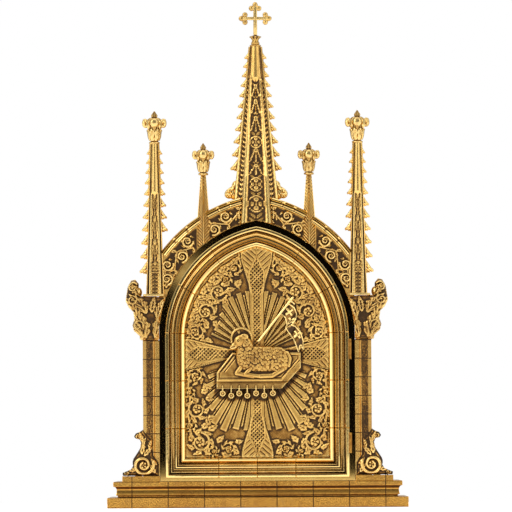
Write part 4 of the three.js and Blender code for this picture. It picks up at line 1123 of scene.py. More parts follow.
# How far in from the door's edge, and height, as shares of the frame's width and depth, then darkness: patina
# with painted shade in the grooves above 0, rubbed shine with a painted highlight on the beads below 0
FRAME_PROFILE = [
    (0, 0, 0), (0, 0.74, 0), (0.02, 0.78, -0.3), (0.11, 0.8, -0.2), (0.17, 0.78, 0), (0.19, 0.72, 0.5),
    (0.215, 0.56, 1), (0.235, 0.74, 0.4), (0.26, 0.84, -0.5), (0.29, 0.84, -0.4), (0.315, 0.74, 0.3),
    (0.33, 0.7, 0.3), (0.38, 0.68, 0.1), (0.42, 0.74, 0), (0.435, 0.7, 0.4), (0.452, 0.55, 1),
    (0.47, 0.72, 0.4), (0.485, 0.82, -0.4), (0.525, 0.83, -0.4), (0.54, 0.74, 0.5), (0.58, 0.64, 0.4),
    (0.63, 0.64, 0.1), (0.68, 0.74, -0.1), (0.7, 0.66, 0.5), (0.72, 0.55, 1), (0.745, 0.74, 0.5),
    (0.77, 0.86, -0.2), (0.82, 0.97, -0.4), (0.87, 1, -0.6), (0.92, 0.96, -0.4), (0.96, 0.82, 0),
    (0.98, 0.66, 0.6), (1, 0.55, 0.9), (1, 0, 0.5),
]
# Where the frame's lengths meet: share of each run and half the seam's width
FRAME_SEAMS = {
    "sill": [(0.266, 0.004), (0.498, 0.004), (0.73, 0.004)],
    "jamb": [(0.29, 0.005), (0.662, 0.005)],
    "arc": [(0.03, 0.0045), (0.355, 0.0045), (0.675, 0.0045)],
}


class TABERNACLE_OT_door_frame(bpy.types.Operator):
    """Sweep the door's moulded frame and the polished band round the doorway"""

    bl_idname = "tabernacle.door_frame"
    bl_label = "Door frame and surround"

    def execute(self, context):
        bm = new_bmesh()
        sizes = np.array([-FRAME_WIDTH, DOOR_DEPTH, 0.6])
        profile = (np.array(FRAME_PROFILE) * sizes).tolist()
        arch_ring(bm, profile, DOOR_BACK, stations(40, FRAME_SEAMS))
        finished(
            "moulded_door_frame", bm, "polished brass", "polished_brass", "door_frame",
            sharp=17, depth=12.0,
        )
        bm = new_bmesh()
        reach = SURROUND_BACK - SURROUND_FRONT
        wide = SURROUND_WIDTH
        profile = [
            (-15, 0, 0), (-15, reach - 0.4, 0), (wide - 0.9, reach - 0.4, 0), (wide - 0.8, reach - 1.0, 0),
            (wide - 0.6, reach, 0), (wide - 0.3, reach, 0), (wide, reach - 0.5, 0), (wide, 0, 0),
        ]
        sill = (DOOR_BOTTOM - low("door_surround", 2)) / wide

        def foot(distance):
            return DOOR_BOTTOM - distance * (sill if distance > 0 else 1)

        arch_ring(bm, profile, SURROUND_BACK, stations(48, {}), foot)
        finished(
            "polished_surround", bm, "mirror brass", "polished_brass", "door_surround",
            sharp=12, depth=400.0,
        )
        return {"FINISHED"}


# Gable

# Inwards, height and darkness of the gable's moulding: patina with painted shade in the grooves above 0,
# rubbed shine with a painted highlight on the beads below 0.
GABLE_PROFILE = [
    (0, 0, 0.4), (0, 5.5, 0.3), (0.8, 7, 0), (2.5, 8.6, -0.3), (4.5, 8.6, -0.2), (5.6, 7.6, 0.2),
    (6.2, 5, 1), (7.4, 4, 1), (8.2, 5.6, 0.4), (9.8, 6.2, 0), (10.8, 5.8, 0.3), (11.2, 4.6, 0.9),
    (12.0, 4.8, 0.6), (12.5, 7, -0.2), (13.4, 7.6, -0.4), (14.3, 6.8, 0), (15, 4.4, 0.8), (15, 0, 0.8),
]
LOWER_LEAVES = [((181, 438), 1.7, 24), ((176, 452), 2.1, 22), ((184, 462), 1.5, 20)]


class TABERNACLE_OT_gable(bpy.types.Operator):
    """Sweep the gable's mouldings and carve the spandrels' foliage"""

    bl_idname = "tabernacle.gable"
    bl_label = "Gable"

    def execute(self, context):
        for word, side in SIDES:
            for part in ("lower", "upper"):
                self.moulding(word, side, part)
                self.spandrel(word, side, part)
        return {"FINISHED"}

    def moulding(self, word, side, part):
        node = f"gable_moulding_{word}_{part}"
        ends = sorted(abs(level(node, 0)) for level in (low, high))
        radius = ARCH_RADIUS + GABLE_REACH
        first = math.acos(min(1, (ends[1] + ARCH_OFFSET) / radius))
        last = math.acos((ends[0] + (6 if part == "lower" else 0) + ARCH_OFFSET) / radius)
        steps = 36
        rows = []
        dark = []
        # Darkness from the profile: patina with painted shade in grooves, rubbed shine with a painted
        # highlight on beads.
        patina_shade_and_highlight = [value for _, _, value in GABLE_PROFILE]
        for i in range(steps + 1):
            angle = first + (last - first) * i / steps
            seam = 0.8 if i in (12, 24) else 0
            row = [
                (
                    side * ((radius - inwards) * math.cos(angle) - ARCH_OFFSET),
                    GABLE_GROUND - max(0, height - seam if height else 0),
                    SPRINGING + (radius - inwards) * math.sin(angle),
                )
                for inwards, height, _ in GABLE_PROFILE
            ]
            rows.append(row + row[:1])
            dark.append([min(1, value + seam) for value in patina_shade_and_highlight + patina_shade_and_highlight[:1]])
        bm = new_bmesh()
        add_surface(bm, np.array(rows), np.array(dark))
        finished(f"carved_{node}", bm, "polished brass", "polished_brass", node, sharp=30, depth=6.0)

    def spandrel(self, word, side, part):
        node = f"spandrel_{word}_{part}"
        ends = sorted(abs(level(node, 0)) for level in (low, high))
        angles = (28, 33.5, 40.5, 47) if part == "lower" else (60, 67, 74)
        middle = ARCH_RADIUS + 31

        def carve(x, z):
            a = np.abs(x)
            height = np.zeros_like(a)
            stem = []
            for k, degrees in enumerate(angles):
                turn = math.radians(degrees)
                aside = 7 if k % 2 else -6
                centre = [(middle + off) * math.cos(turn) - ARCH_OFFSET for off in (aside, -1.4 * aside)]
                level = [SPRINGING + (middle + off) * math.sin(turn) for off in (aside, -1.4 * aside)]
                leaf_at = (centre[0], level[0])
                way = 1 if k % 2 else -1
                height = np.maximum(height, spiral(a, z, leaf_at, 12.0, turn + way * 2.2, 1.5 * way, 3.0))
                height = np.maximum(height, 0.9 * vine_leaf(a, z, leaf_at, 5.6, turn, 3))
                for j in range(6):
                    lean = turn + way * 2.2 + j * math.pi / 3
                    place = (leaf_at[0] + 10.5 * math.cos(lean), leaf_at[1] + 10.5 * math.sin(lean))
                    petal = leaf(a, z, place, lean + 0.9 * way, 8.5, 3.6, 0.5 * way, 3)
                    height = np.maximum(height, 0.9 * petal)
                for bend in (-1, 1):
                    root = (centre[1], level[1])
                    lean = turn + 1.57 + bend * 1.9
                    height = np.maximum(height, 0.8 * leaf(a, z, root, lean, 16, 4.6, 0.4 * bend, 3))
                stem.append((centre[1], level[1]))
            height = np.maximum(height, 0.6 * vine(a, z, stem, 2.0))
            if part == "lower":
                for root, direction, length in LOWER_LEAVES:
                    height = np.maximum(height, 0.8 * leaf(a, z, root, direction, length, 6, 0.2))
            return 2.0 + 5.0 * height

        def keep(x, z, height):
            a = np.abs(x)
            reach = arch_reach(x, z)
            held = (reach > SURROUND_WIDTH + 0.6) & (reach < GABLE_REACH - GABLE_WIDTH - 0.3)
            return held & (a > ends[0] - 0.1) & (a < ends[1] + 0.1)

        bm = new_bmesh()
        x_range = sorted((side * (ends[0] - 1), side * (ends[1] + 1)))
        z_range = (low(node, 2) - 1, high(node, 2) + 1)
        # Painted shade on the ground between the foliage.
        shade = dark_ground(6.0, 0.95)
        relief(bm, x_range, z_range, 0.8, carve, GABLE_GROUND, GABLE_GROUND, keep, 2.6, shade)
        finished(f"carved_{node}", bm, "carved brass", "antique_brass", node, sharp=60)


# Spire and pinnacles

# Level and size of each rose, then foot and height of each pointed window
SPIRE_ROSES = ((606, 12.5), (645, 10.2), (730, 9.0))
SPIRE_WINDOWS = ((664, 22), (690, 28), (752, 30), (788, 28), (822, 24))


def spire_half(z):
    """Half the spire's width at a height."""
    return SPIRE_FOOT + (SPIRE_TIP - SPIRE_FOOT) * (z - SPIRE_FOOT_Z) / (SPIRE_TOP - SPIRE_FOOT_Z)


def carve_spire(face, across, z):
    """Rolls on the corners, and tracery sunk between them."""
    half = spire_half(z) * SPIRE_CUT
    main = face % 2 == 0
    s = np.abs(across)
    x = across * half
    plain = smooth((z - SPIRE_PLAIN) / 12)
    roll = 2.4 * ridge(s - 0.87, 0.14) * (1 - 0.7 * plain)
    field = smooth((0.7 - s) / 0.07) * (1 - plain)
    motif = 0.55 * herringbone(x, z, 11, 0.8)
    for height, size in SPIRE_ROSES:
        near = np.hypot(x, z - height)
        motif = np.where(near < 1.3 * size, 0, motif)
        motif = np.maximum(motif, rosette(x, z, (0, height), 1.1 * size, 4))
        motif = np.maximum(motif, ridge(near - 1.25 * size, 1.4))
    for foot, tall in SPIRE_WINDOWS:
        share = np.clip((z - foot) / tall, 0, 1)
        pointed = 0.6 * half * np.sqrt(1 - share) * (0.55 + 0.45 * np.cos(share * 2))
        inside = (z > foot) & (z < foot + tall)
        motif = np.where(inside & (np.abs(x) < pointed), 0.35 * motif, motif)
        motif = over(motif, inside, ridge(np.abs(x) - pointed, 1.6))
        motif = over(motif, inside, 0.8 * ridge(x, 1.3))
    front = field * (2.5 * motif - 1.5) + 2.8 * plain * (1 - s**2)
    side_field = smooth((0.6 - s) / 0.1) * (1 - plain)
    oblique = side_field * (1.6 * herringbone(across * 0.41 * half / SPIRE_CUT, z, 9.5, 1.1) - 2.0)
    oblique = oblique + 1.0 * ridge(s - 0.7, 0.08) * (1 - plain) - 0.6 * plain * smooth((0.8 - s) / 0.2)
    return roll + np.where(main, front, np.where(s < 0.8, oblique, 0))


class TABERNACLE_OT_spire(bpy.types.Operator):
    """Model the central spire with its tracery, crockets and leaf balls"""

    bl_idname = "tabernacle.spire"
    bl_label = "Spire"

    def execute(self, context):
        bm = new_bmesh()

        def ring(z):
            return chamfered(0, SPIRE_Y, spire_half(z), SPIRE_CUT)

        shaft(bm, ring, arch_foot, SPIRE_TOP, 330, 16, carve_spire)
        for k, z, tall in crocket_row(SPIRE_TOP - 22, SPIRE_FOOT_Z + 78, 11):
            reach = 8.0 + 5.6 * k / 10
            for out in (1, -1):
                crocket(bm, out * (spire_half(z) - 0.5), SPIRE_Y, z - 0.3 * reach, out, reach, tall)
        shoulder = SPIRE_FOOT_Z + 56
        for out in (1, -1):
            edge = spire_half(shoulder)
            curve = [(edge - 8, 26), (edge + 4, 12), (55, 4), (59, -4), (52, -5)]
            path = [(out * aside, SPIRE_Y, shoulder + up) for aside, up in curve]
            widths = [5, 8, 10, 9, 5]
            curled_leaf(bm, path, (0, out, 0), widths, [4, 6, 6.5, 5, 4], lobes=4, sides=14, count=24)
            ball(bm, (out * 54, SPIRE_Y, shoulder - 1), (9.4, 9, 9.4), 20)
            ball(bm, (out * 45, SPIRE_Y, shoulder), (10, 7, 12), 20)
            ball(bm, (out * 40, SPIRE_Y, shoulder + 14), (9, 6, 12), 20)
            for k in range(6):
                turn = k * math.pi / 3
                spot = (out * 54 + 5.5 * math.cos(turn), SPIRE_Y - 7, shoulder - 1 + 5.5 * math.sin(turn))
                ball(bm, spot, (2.8, 2.2, 2.8), 10)
        finished("carved_spire", bm, "cast brass", "antique_brass", "spire", sharp=50, depth=1.1)
        self.crown()
        self.cross()
        return {"FINISHED"}

    def crown(self):
        _, y, bottom, tall, radius = round_place("spire_crown")
        profile = [
            (0.9, 0), (1, 0.06), (1, 0.14), (0.72, 0.22), (0.8, 0.34), (0.62, 0.44), (0.6, 0.6),
            (0.74, 0.74), (0.98, 0.86), (0.7, 0.94), (0.3, 1),
        ]
        bm = new_bmesh()
        turned(bm, 0, y, bottom, tall, radius, profile, lobes=8, lobed_above=0.6)
        finished(
            "turned_spire_crown", bm, "leaf brass", "antique_brass", "spire_crown",
            sharp=45, depth=2.6,
        )

    def cross(self):
        bottom = low("cross", 2)
        top = high("cross", 2)
        half = 33.3
        centre = top - half
        bm = new_bmesh()
        block(bm, (-3.8, SPIRE_Y - 3.2, bottom), (3.8, SPIRE_Y + 3.2, top - 8), 1.6)
        block(bm, (-half + 8, SPIRE_Y - 3.2, centre - 3.2), (half - 8, SPIRE_Y + 3.2, centre + 3.2), 1.4)
        for dx, dz in ((1, 0), (-1, 0), (0, 1)):
            for step, size in ((7.0, 5.6), (5.0, 4.9)):
                tip = half - step
                ball(bm, (dx * tip, SPIRE_Y, centre + dz * tip), (size, 3.4, size), 18)
            for across in (1, -1):
                for lift, size in ((7.4, 5.4), (3.4, 4.2)):
                    tip = half - 13.0
                    x = dx * tip + dz * across * lift
                    z = centre + dz * tip + dx * across * lift
                    ball(bm, (x, SPIRE_Y, z), (size, 3.3, size), 16)
        ball(bm, (0, SPIRE_Y, centre), (5, 3.9, 5))
        finished("trefoil_cross", bm, "leaf brass", "antique_brass", "cross", sharp=50, depth=3.0)


def turned(bm, x, y, bottom, tall, radius, profile, lobes=0, lobed_above=1.0, swell=0.12, sides=40, rows=44):
    """A turned body whose upper part is lobed."""
    line = flowing([(r, h) for r, h in profile], rows)
    angle = np.linspace(0, 2 * math.pi, sides + 1)
    share = np.clip((line[:, 1] - lobed_above) / 0.08, 0, 1)[:, None]
    wave = 1 + swell * share * np.cos(lobes * angle)[None, :]
    r = np.maximum(line[:, 0], 0.01)[:, None] * radius * wave
    level = np.repeat(bottom + line[:, 1:2] * tall, sides + 1, 1)
    points = np.stack([x + r * np.cos(angle)[None, :], y + r * np.sin(angle)[None, :], level], -1)
    # Patina with painted shade in the valleys between the lobes.
    recess = np.clip(share * (0.5 - 0.5 * np.cos(lobes * angle)[None, :]) - 0.3, 0, 1) + np.zeros_like(r)
    add_surface(bm, points, recess)


def round_place(node):
    """Middle in x and y, foot, height and half width of a round piece."""
    bottom = low(node, 2)
    half = (high(node, 0) - low(node, 0)) / 2
    return middle_of(node, 0), middle_of(node, 1), bottom, high(node, 2) - bottom, half


def finial(name, node):
    """A leaf cup: a collar, a stem, four heavy curled leaves with small ones between, and a bud."""
    x, y, bottom, tall, reach = round_place(node)
    bm = new_bmesh()
    profile = [
        (0.4, 0), (0.46, 0.03), (0.42, 0.06), (0.3, 0.085), (0.36, 0.12), (0.42, 0.2), (0.4, 0.32),
        (0.44, 0.5), (0.52, 0.66), (0.5, 0.74), (0.34, 0.79), (0.2, 0.81), (0.24, 0.86), (0.12, 0.94),
        (0.02, 1),
    ]
    turned(bm, x, y, bottom, tall, reach, profile, lobes=8, lobed_above=0.1, swell=0.14)
    for k in range(8):
        angle = k * math.pi / 4
        large = k % 2 == 0
        c, s = math.cos(angle), math.sin(angle)
        grow = 0.97 if large else 0.74
        drop = 0 if large else 0.05
        path = [(0.3, 0.3), (0.44, 0.46), (0.6, 0.64), (0.8, 0.72), (0.87, 0.62), (0.76, 0.54), (0.64, 0.58)]
        path = [(r, h - drop) for r, h in path]
        line = [(x + c * r * reach * grow, y + s * r * reach * grow, bottom + h * tall) for r, h in path]
        widths = [0.12, 0.2, 0.28, 0.32, 0.3, 0.2] if large else [0.1, 0.14, 0.16, 0.16, 0.14, 0.1]
        depths = [0.1, 0.16, 0.2, 0.22, 0.16]
        curled_leaf(bm, line, (-s, c, 0), widths, depths, reach, sides=14, count=24)
        path = [(0.38, 0.1), (0.48, 0.2), (0.5, 0.32), (0.58, 0.42), (0.62, 0.38)]
        turn = angle + math.pi / 8
        c, s = math.cos(turn), math.sin(turn)
        line = [(x + c * r * reach, y + s * r * reach, bottom + h * tall) for r, h in path]
        widths = [0.1, 0.19, 0.19, 0.1]
        depths = [0.06, 0.1, 0.1, 0.06]
        curled_leaf(bm, line, (-s, c, 0), widths, depths, reach, lobes=2, sides=9, count=12)
    finished(name, bm, "leaf brass", "antique_brass", node, sharp=50, depth=1.3)


def carve_pinnacle(face, across, z):
    """Rolls on the corners, and a sunk field of tracery that stops below the plain top."""
    s = np.abs(across)
    main = face % 2 == 0
    plain = smooth((z - PINNACLE_PLAIN) / 10)
    roll = 1.1 * ridge(s - 0.9, 0.14) * (1 - plain)
    field = smooth((0.64 - s) / 0.08) * (1 - plain)
    phase = ((z - 492) / 46) % 1
    arch = ridge(s / 0.6 - np.sqrt(1 - phase), 0.2)
    leaves = 0.5 * herringbone(across * 9, z, 9, 0.9)
    x = across * 11
    upper = np.maximum(np.maximum(arch, leaves), 0.7 * ridge(s, 0.12))
    rim = ridge(np.hypot(x, z - ROSE_LEVEL) - 8, 1.1)
    rose = np.maximum(rosette(x, z, (0, ROSE_LEVEL), 7.5, 4), rim)
    foot = 0.6 * lattice(x, z, 7, 1.0) + ridge(z - 470, 1.3)
    motif = np.where(z > 491, upper, np.where(z > 472, rose, foot))
    front = field * (1.9 * np.clip(motif, 0, 1) - 1.1) + 2.4 * plain * (1 - s**2)
    return roll + np.where(main, front, -1.0 * smooth((0.75 - s) / 0.1))


class TABERNACLE_OT_pinnacles(bpy.types.Operator):
    """Model the four pinnacles and their finials"""

    bl_idname = "tabernacle.pinnacles"
    bl_label = "Pinnacles"

    def execute(self, context):
        for word, side in SIDES:
            self.outer(word, side)
            self.inner(word)
            finial(f"leafy_pinnacle_finial_{word}", f"pinnacle_finial_{word}")
            finial(f"leafy_small_finial_{word}", f"small_finial_{word}")
        return {"FINISHED"}

    def outer(self, word, side):
        node = f"pinnacle_{word}"
        x, y = (middle_of(f"pinnacle_finial_{word}", axis) for axis in (0, 1))
        bottom = low(node, 2)
        top = high(node, 2)
        gable = GABLE_REACH + ARCH_RADIUS
        wall = CABINET_HALF + 0.3
        foot_half = 17.3
        top_half = 7.8

        def half_at(z):
            return foot_half + (top_half - foot_half) * (z - bottom) / (top - bottom)

        def ring(z):
            corners = chamfered(x, y, half_at(z), 0.64)
            if z > SPRINGING + math.sqrt(gable**2 - (CABINET_HALF - 6 + ARCH_OFFSET) ** 2):
                return corners
            return [
                (side * max(side * cx, wall) if cy > FRONT_PLANE - 0.6 else cx, cy) for cx, cy in corners
            ]

        bm = new_bmesh()
        shaft(bm, ring, bottom, top, 260, 10, carve_pinnacle)
        near = x * side - foot_half - 6.2 + ARCH_OFFSET
        gable_top = SPRINGING + math.sqrt(gable**2 - near**2)
        for k, z, tall in crocket_row(top - 20, bottom + 14, 11):
            reach = 6.4 + 6.6 * k / 10
            for out in (1, -1):
                if out == side or z > gable_top + reach:
                    crocket(bm, x + out * (half_at(z) - 0.6), y, z - 0.2 * reach, out, reach, tall)
        finished(f"carved_{node}", bm, "cast brass", "antique_brass", node, sharp=50)

    def inner(self, word):
        node = f"small_pinnacle_{word}"
        x, y = (middle_of(f"small_finial_{word}", axis) for axis in (0, 1))
        top = high(node, 2)
        bottom = SPRINGING

        def half_at(z):
            return float(np.interp(z, [bottom, bottom + ARCH_RISE, top], [16.8, 13.1, 4.4]))

        def ring(z):
            half = half_at(z)
            return [(x, y - half), (x + half, y), (x, y + half), (x - half, y)]

        def carve(face, across, z):
            s = np.abs(across)
            along = across * 7
            rope = ((z - 1.1 * along * (1 - 2 * (face % 2))) / 6.4) % 1
            bands = ridge(rope - 0.5, 0.4)
            return 1.2 * ridge(s - 0.91, 0.09) + (1.5 * bands - 1.1) * smooth((0.8 - s) / 0.06)

        bm = new_bmesh()
        shaft(bm, ring, arch_foot, top, 320, 18, carve, 0.4)
        finished(f"hatched_{node}", bm, "cast brass", "antique_brass", node, sharp=45)


# Capitals and brackets: outlines as distances out from the pier's middle and up

CAPITAL_OUTLINE = [
    (-14, 0), (17, 0), (24, 9), (34, 18), (37, 30), (33, 42), (35, 56), (44, 65), (50, 77), (49, 88),
    (46, 106), (39, 119), (30, 121), (23, 112), (24, 98), (22, 88), (-31, 86), (-29, 70), (-20, 40),
]
CAPITAL_SPIRALS = [((35, 105), 11, 2.6, -1.2), ((37, 80), 10.5, 2.2, 1.2), ((25, 29), 10, 2.6, -1.2)]
CAPITAL_LEAVES = [
    ((12, 0), 1.45, 74, 19, -0.28), ((-9, 0), 1.72, 76, 12, 0.12), ((22, 34), 1.25, 62, 16, -0.22),
    ((8, 52), 1.15, 52, 14, -0.32), ((-12, 44), 1.85, 46, 12, 0.16), ((20, 88), 1.0, 34, 11, -0.2),
    ((16, 8), 0.9, 34, 10, -0.4), ((-2, 54), 1.7, 34, 9, 0.05),
]
BRACKET_OUTLINE = [
    (-0.34, 0), (0.44, 0), (0.45, 0.075), (0.36, 0.11), (0.27, 0.15), (0.225, 0.22), (0.235, 0.31),
    (0.21, 0.38), (0.13, 0.5), (0.07, 0.6), (0.05, 0.71), (0.08, 0.78), (0.16, 0.8), (0.205, 0.85),
    (0.16, 0.92), (0.06, 0.96), (0, 1), (-0.13, 0.83), (-0.22, 0.77), (-0.21, 0.6), (-0.22, 0.45),
    (-0.29, 0.35), (-0.34, 0.26),
]
BRACKET_SPIRALS = [
    ((0.0, 0.235), 0.225, 2.8, 1.7), ((0.11, 0.86), 0.085, 0.6, 1.3), ((0.34, 0.07), 0.07, 2.0, -1.2),
]
BRACKET_LEAVES = [
    ((-0.02, 0.42), 2.1, 0.3, 0.06, 0.2), ((0.03, 0.46), 1.7, 0.34, 0.07, 0.0),
    ((0.06, 0.56), 1.9, 0.3, 0.06, 0.1), ((0.02, 0.72), 1.5, 0.24, 0.06, -0.2),
    ((0.16, 0.12), 0.1, 0.26, 0.06, 0.2), ((-0.26, 0.06), 1.0, 0.24, 0.06, 0.0),
    ((-0.3, 0.24), 0.5, 0.2, 0.05, 0.3), ((-0.12, 0.6), 1.9, 0.22, 0.05, 0.0),
]


class TABERNACLE_OT_capitals(bpy.types.Operator):
    """Model the leaf capitals and the scroll brackets of the piers"""

    bl_idname = "tabernacle.capitals"
    bl_label = "Capitals and brackets"

    def execute(self, context):
        for word, side in SIDES:
            self.capital(word, side)
            self.bracket(word, side)
        return {"FINISHED"}

    def capital(self, word, side):
        node = f"capital_{word}"
        pier = f"pier_{word}"
        middle = abs(middle_of(pier, 0))
        foot = high(pier, 2) + 0.3
        front = low(pier, 1) - 3
        back = high(pier, 1)

        def carve(x, z):
            a = side * x - middle
            b = z - foot
            height = 5.5 * smooth((inside_depth(CAPITAL_OUTLINE, a, b) + 0.5) / 7)
            carving = np.zeros_like(a)
            for root, direction, length, width, bend in CAPITAL_LEAVES:
                carving = np.maximum(carving, leaf(a, b, root, direction, length, width, bend, 5))
            for centre, radius, start, turns in CAPITAL_SPIRALS:
                carving = np.maximum(carving, spiral(a, b, centre, radius, start, turns, 0.26 * radius))
                carving = np.maximum(carving, ridge(np.hypot(a - centre[0], b - centre[1]), 0.3 * radius))
            return height + 6.5 * carving - 3

        def keep(x, z, height):
            a = side * x - middle
            b = z - foot
            clear = (z < SPRINGING) | (arch_reach(x, z) > SURROUND_WIDTH + 0.5)
            wall = np.abs(x) > CABINET_HALF - 14 * (z > SPRINGING)
            return (inside_depth(CAPITAL_OUTLINE, a, b) > 0) & clear & wall

        bm = new_bmesh()
        x_range = sorted((side * (middle - 34), side * (middle + 51)))
        # Painted shade on the ground between the leaves.
        shade = dark_ground(6.5, 0.8)
        relief(bm, x_range, (foot, foot + 122), 0.8, carve, front, FRONT_PLANE - 0.4, keep, 3.0, shade)
        lows = (CABINET_HALF + 0.4, low(pier, 1), foot - 0.2)
        highs = (middle + 22, back, foot + 86)
        block(bm, *self.mirrored(side, lows, highs), 3)
        x, y = (middle_of(f"pinnacle_finial_{word}", axis) for axis in (0, 1))
        top = low(f"pinnacle_{word}", 2)
        inner = max(abs(x) - 24, CABINET_HALF + 0.4)
        for edge, near, far in (
            (inner, FRONT_PLANE - 0.4, y + 24), (abs(x) - 17, y - 24, FRONT_PLANE - 0.5),
        ):
            block(bm, *self.mirrored(side, (edge, near, top - 4), (abs(x) + 24, far, top)), 0.8)
        for out, z, size in ((24, foot + 30, 9), (36, foot + 78, 10), (35, foot + 104, 10)):
            ball(bm, (side * (middle + out), back - 17, z), (size, 11, size), 20)
            ball(bm, (side * (middle + out - 9), back - 12, z - 9), (9, 10, 11), 16)
        finished(f"leafy_{node}", bm, "leaf brass", "antique_brass", node, sharp=60, depth=1.5)

    def mirrored(self, side, lows, highs):
        if side > 0:
            return lows, highs
        return (-highs[0], lows[1], lows[2]), (-lows[0], highs[1], highs[2])

    def bracket(self, word, side):
        node = f"scroll_bracket_{word}"
        pier = f"pier_{word}"
        outer = max(abs(low(pier, 0)), abs(high(pier, 0)))
        foot = high(f"foot_block_{word}", 2) + 0.1
        tall = 93.0
        front = FRONT_PLANE - 18
        outline = [(a * tall, b * tall) for a, b in BRACKET_OUTLINE]

        def carve(x, z):
            a = side * x - outer
            b = z - foot
            height = 4.5 * smooth((inside_depth(outline, a, b) + 0.5) / 6)
            carving = np.zeros_like(a)
            for root, direction, length, width, bend in BRACKET_LEAVES:
                place = (root[0] * tall, root[1] * tall)
                shape = leaf(a, b, place, direction, length * tall, width * tall, bend, 4)
                carving = np.maximum(carving, shape)
            for centre, radius, start, turns in BRACKET_SPIRALS:
                place = (centre[0] * tall, centre[1] * tall)
                size = radius * tall
                carving = np.maximum(carving, spiral(a, b, place, size, start, turns, 0.2 * size))
                carving = np.maximum(carving, rosette(a, b, place, 0.36 * size, 5))
            return height + 5.0 * carving - 3

        def keep(x, z, height):
            inside = inside_depth(outline, side * x - outer, z - foot) > 0
            return inside & (np.abs(x) > CABINET_HALF + 0.8)

        bm = new_bmesh()
        x_range = sorted((side * (outer - 0.35 * tall), side * (outer + 0.46 * tall)))
        back = low(pier, 1) - 0.4
        # Painted shade on the ground between the leaves and scrolls.
        relief(bm, x_range, (foot, foot + tall), 0.8, carve, front, back, keep, 2.6, dark_ground(5.0, 0.8))
        lows = (outer + 0.5, low(pier, 1) - 0.6, foot - 0.1)
        highs = (outer + 0.2 * tall, FRONT_PLANE + 3, foot + 0.4 * tall)
        block(bm, *self.mirrored(side, lows, highs), 3)
        finished(f"leafy_{node}", bm, "cast brass", "antique_brass", node, sharp=60)


# Plain work: the solids themselves, with softened edges

PLAIN = {
    "slab brass": ["base_slab"],
    "plinth brass": ["plinth", "foot_block_left", "foot_block_right"],
    "pier brass": ["pier_left", "pier_right"],
    "cabinet brass": [
        "cabinet_floor", "cabinet_back", "cabinet_roof", "cabinet_front", "cabinet_side_left",
        "cabinet_side_right",
    ],
    "hinge brass": ["hinge_pintle_lower", "hinge_pintle_upper", "hinge_gudgeon_lower", "hinge_gudgeon_upper"],
}


class TABERNACLE_OT_plain_work(bpy.types.Operator):
    """Finish the base, piers, cabinet and hinges"""

    bl_idname = "tabernacle.plain_work"
    bl_label = "Base, piers, cabinet and hinges"

    def execute(self, context):
        for finish, nodes in PLAIN.items():
            for name in nodes:
                solid = frame["nodes"][name]
                solid.data.materials.clear()
                solid.data.materials.append(finishes()[finish])
                weld = solid.modifiers.new("Weld", "WELD")
                weld.merge_threshold = 0.00001
                if name.startswith("hinge"):
                    continue
                bevel = solid.modifiers.new("Bevel", "BEVEL")
                bevel.width = 0.0009
                bevel.segments = 2
                bevel.limit_method = "ANGLE"
                bevel.angle_limit = math.radians(24)
                bevel.use_clamp_overlap = True
        return {"FINISHED"}


# Stage


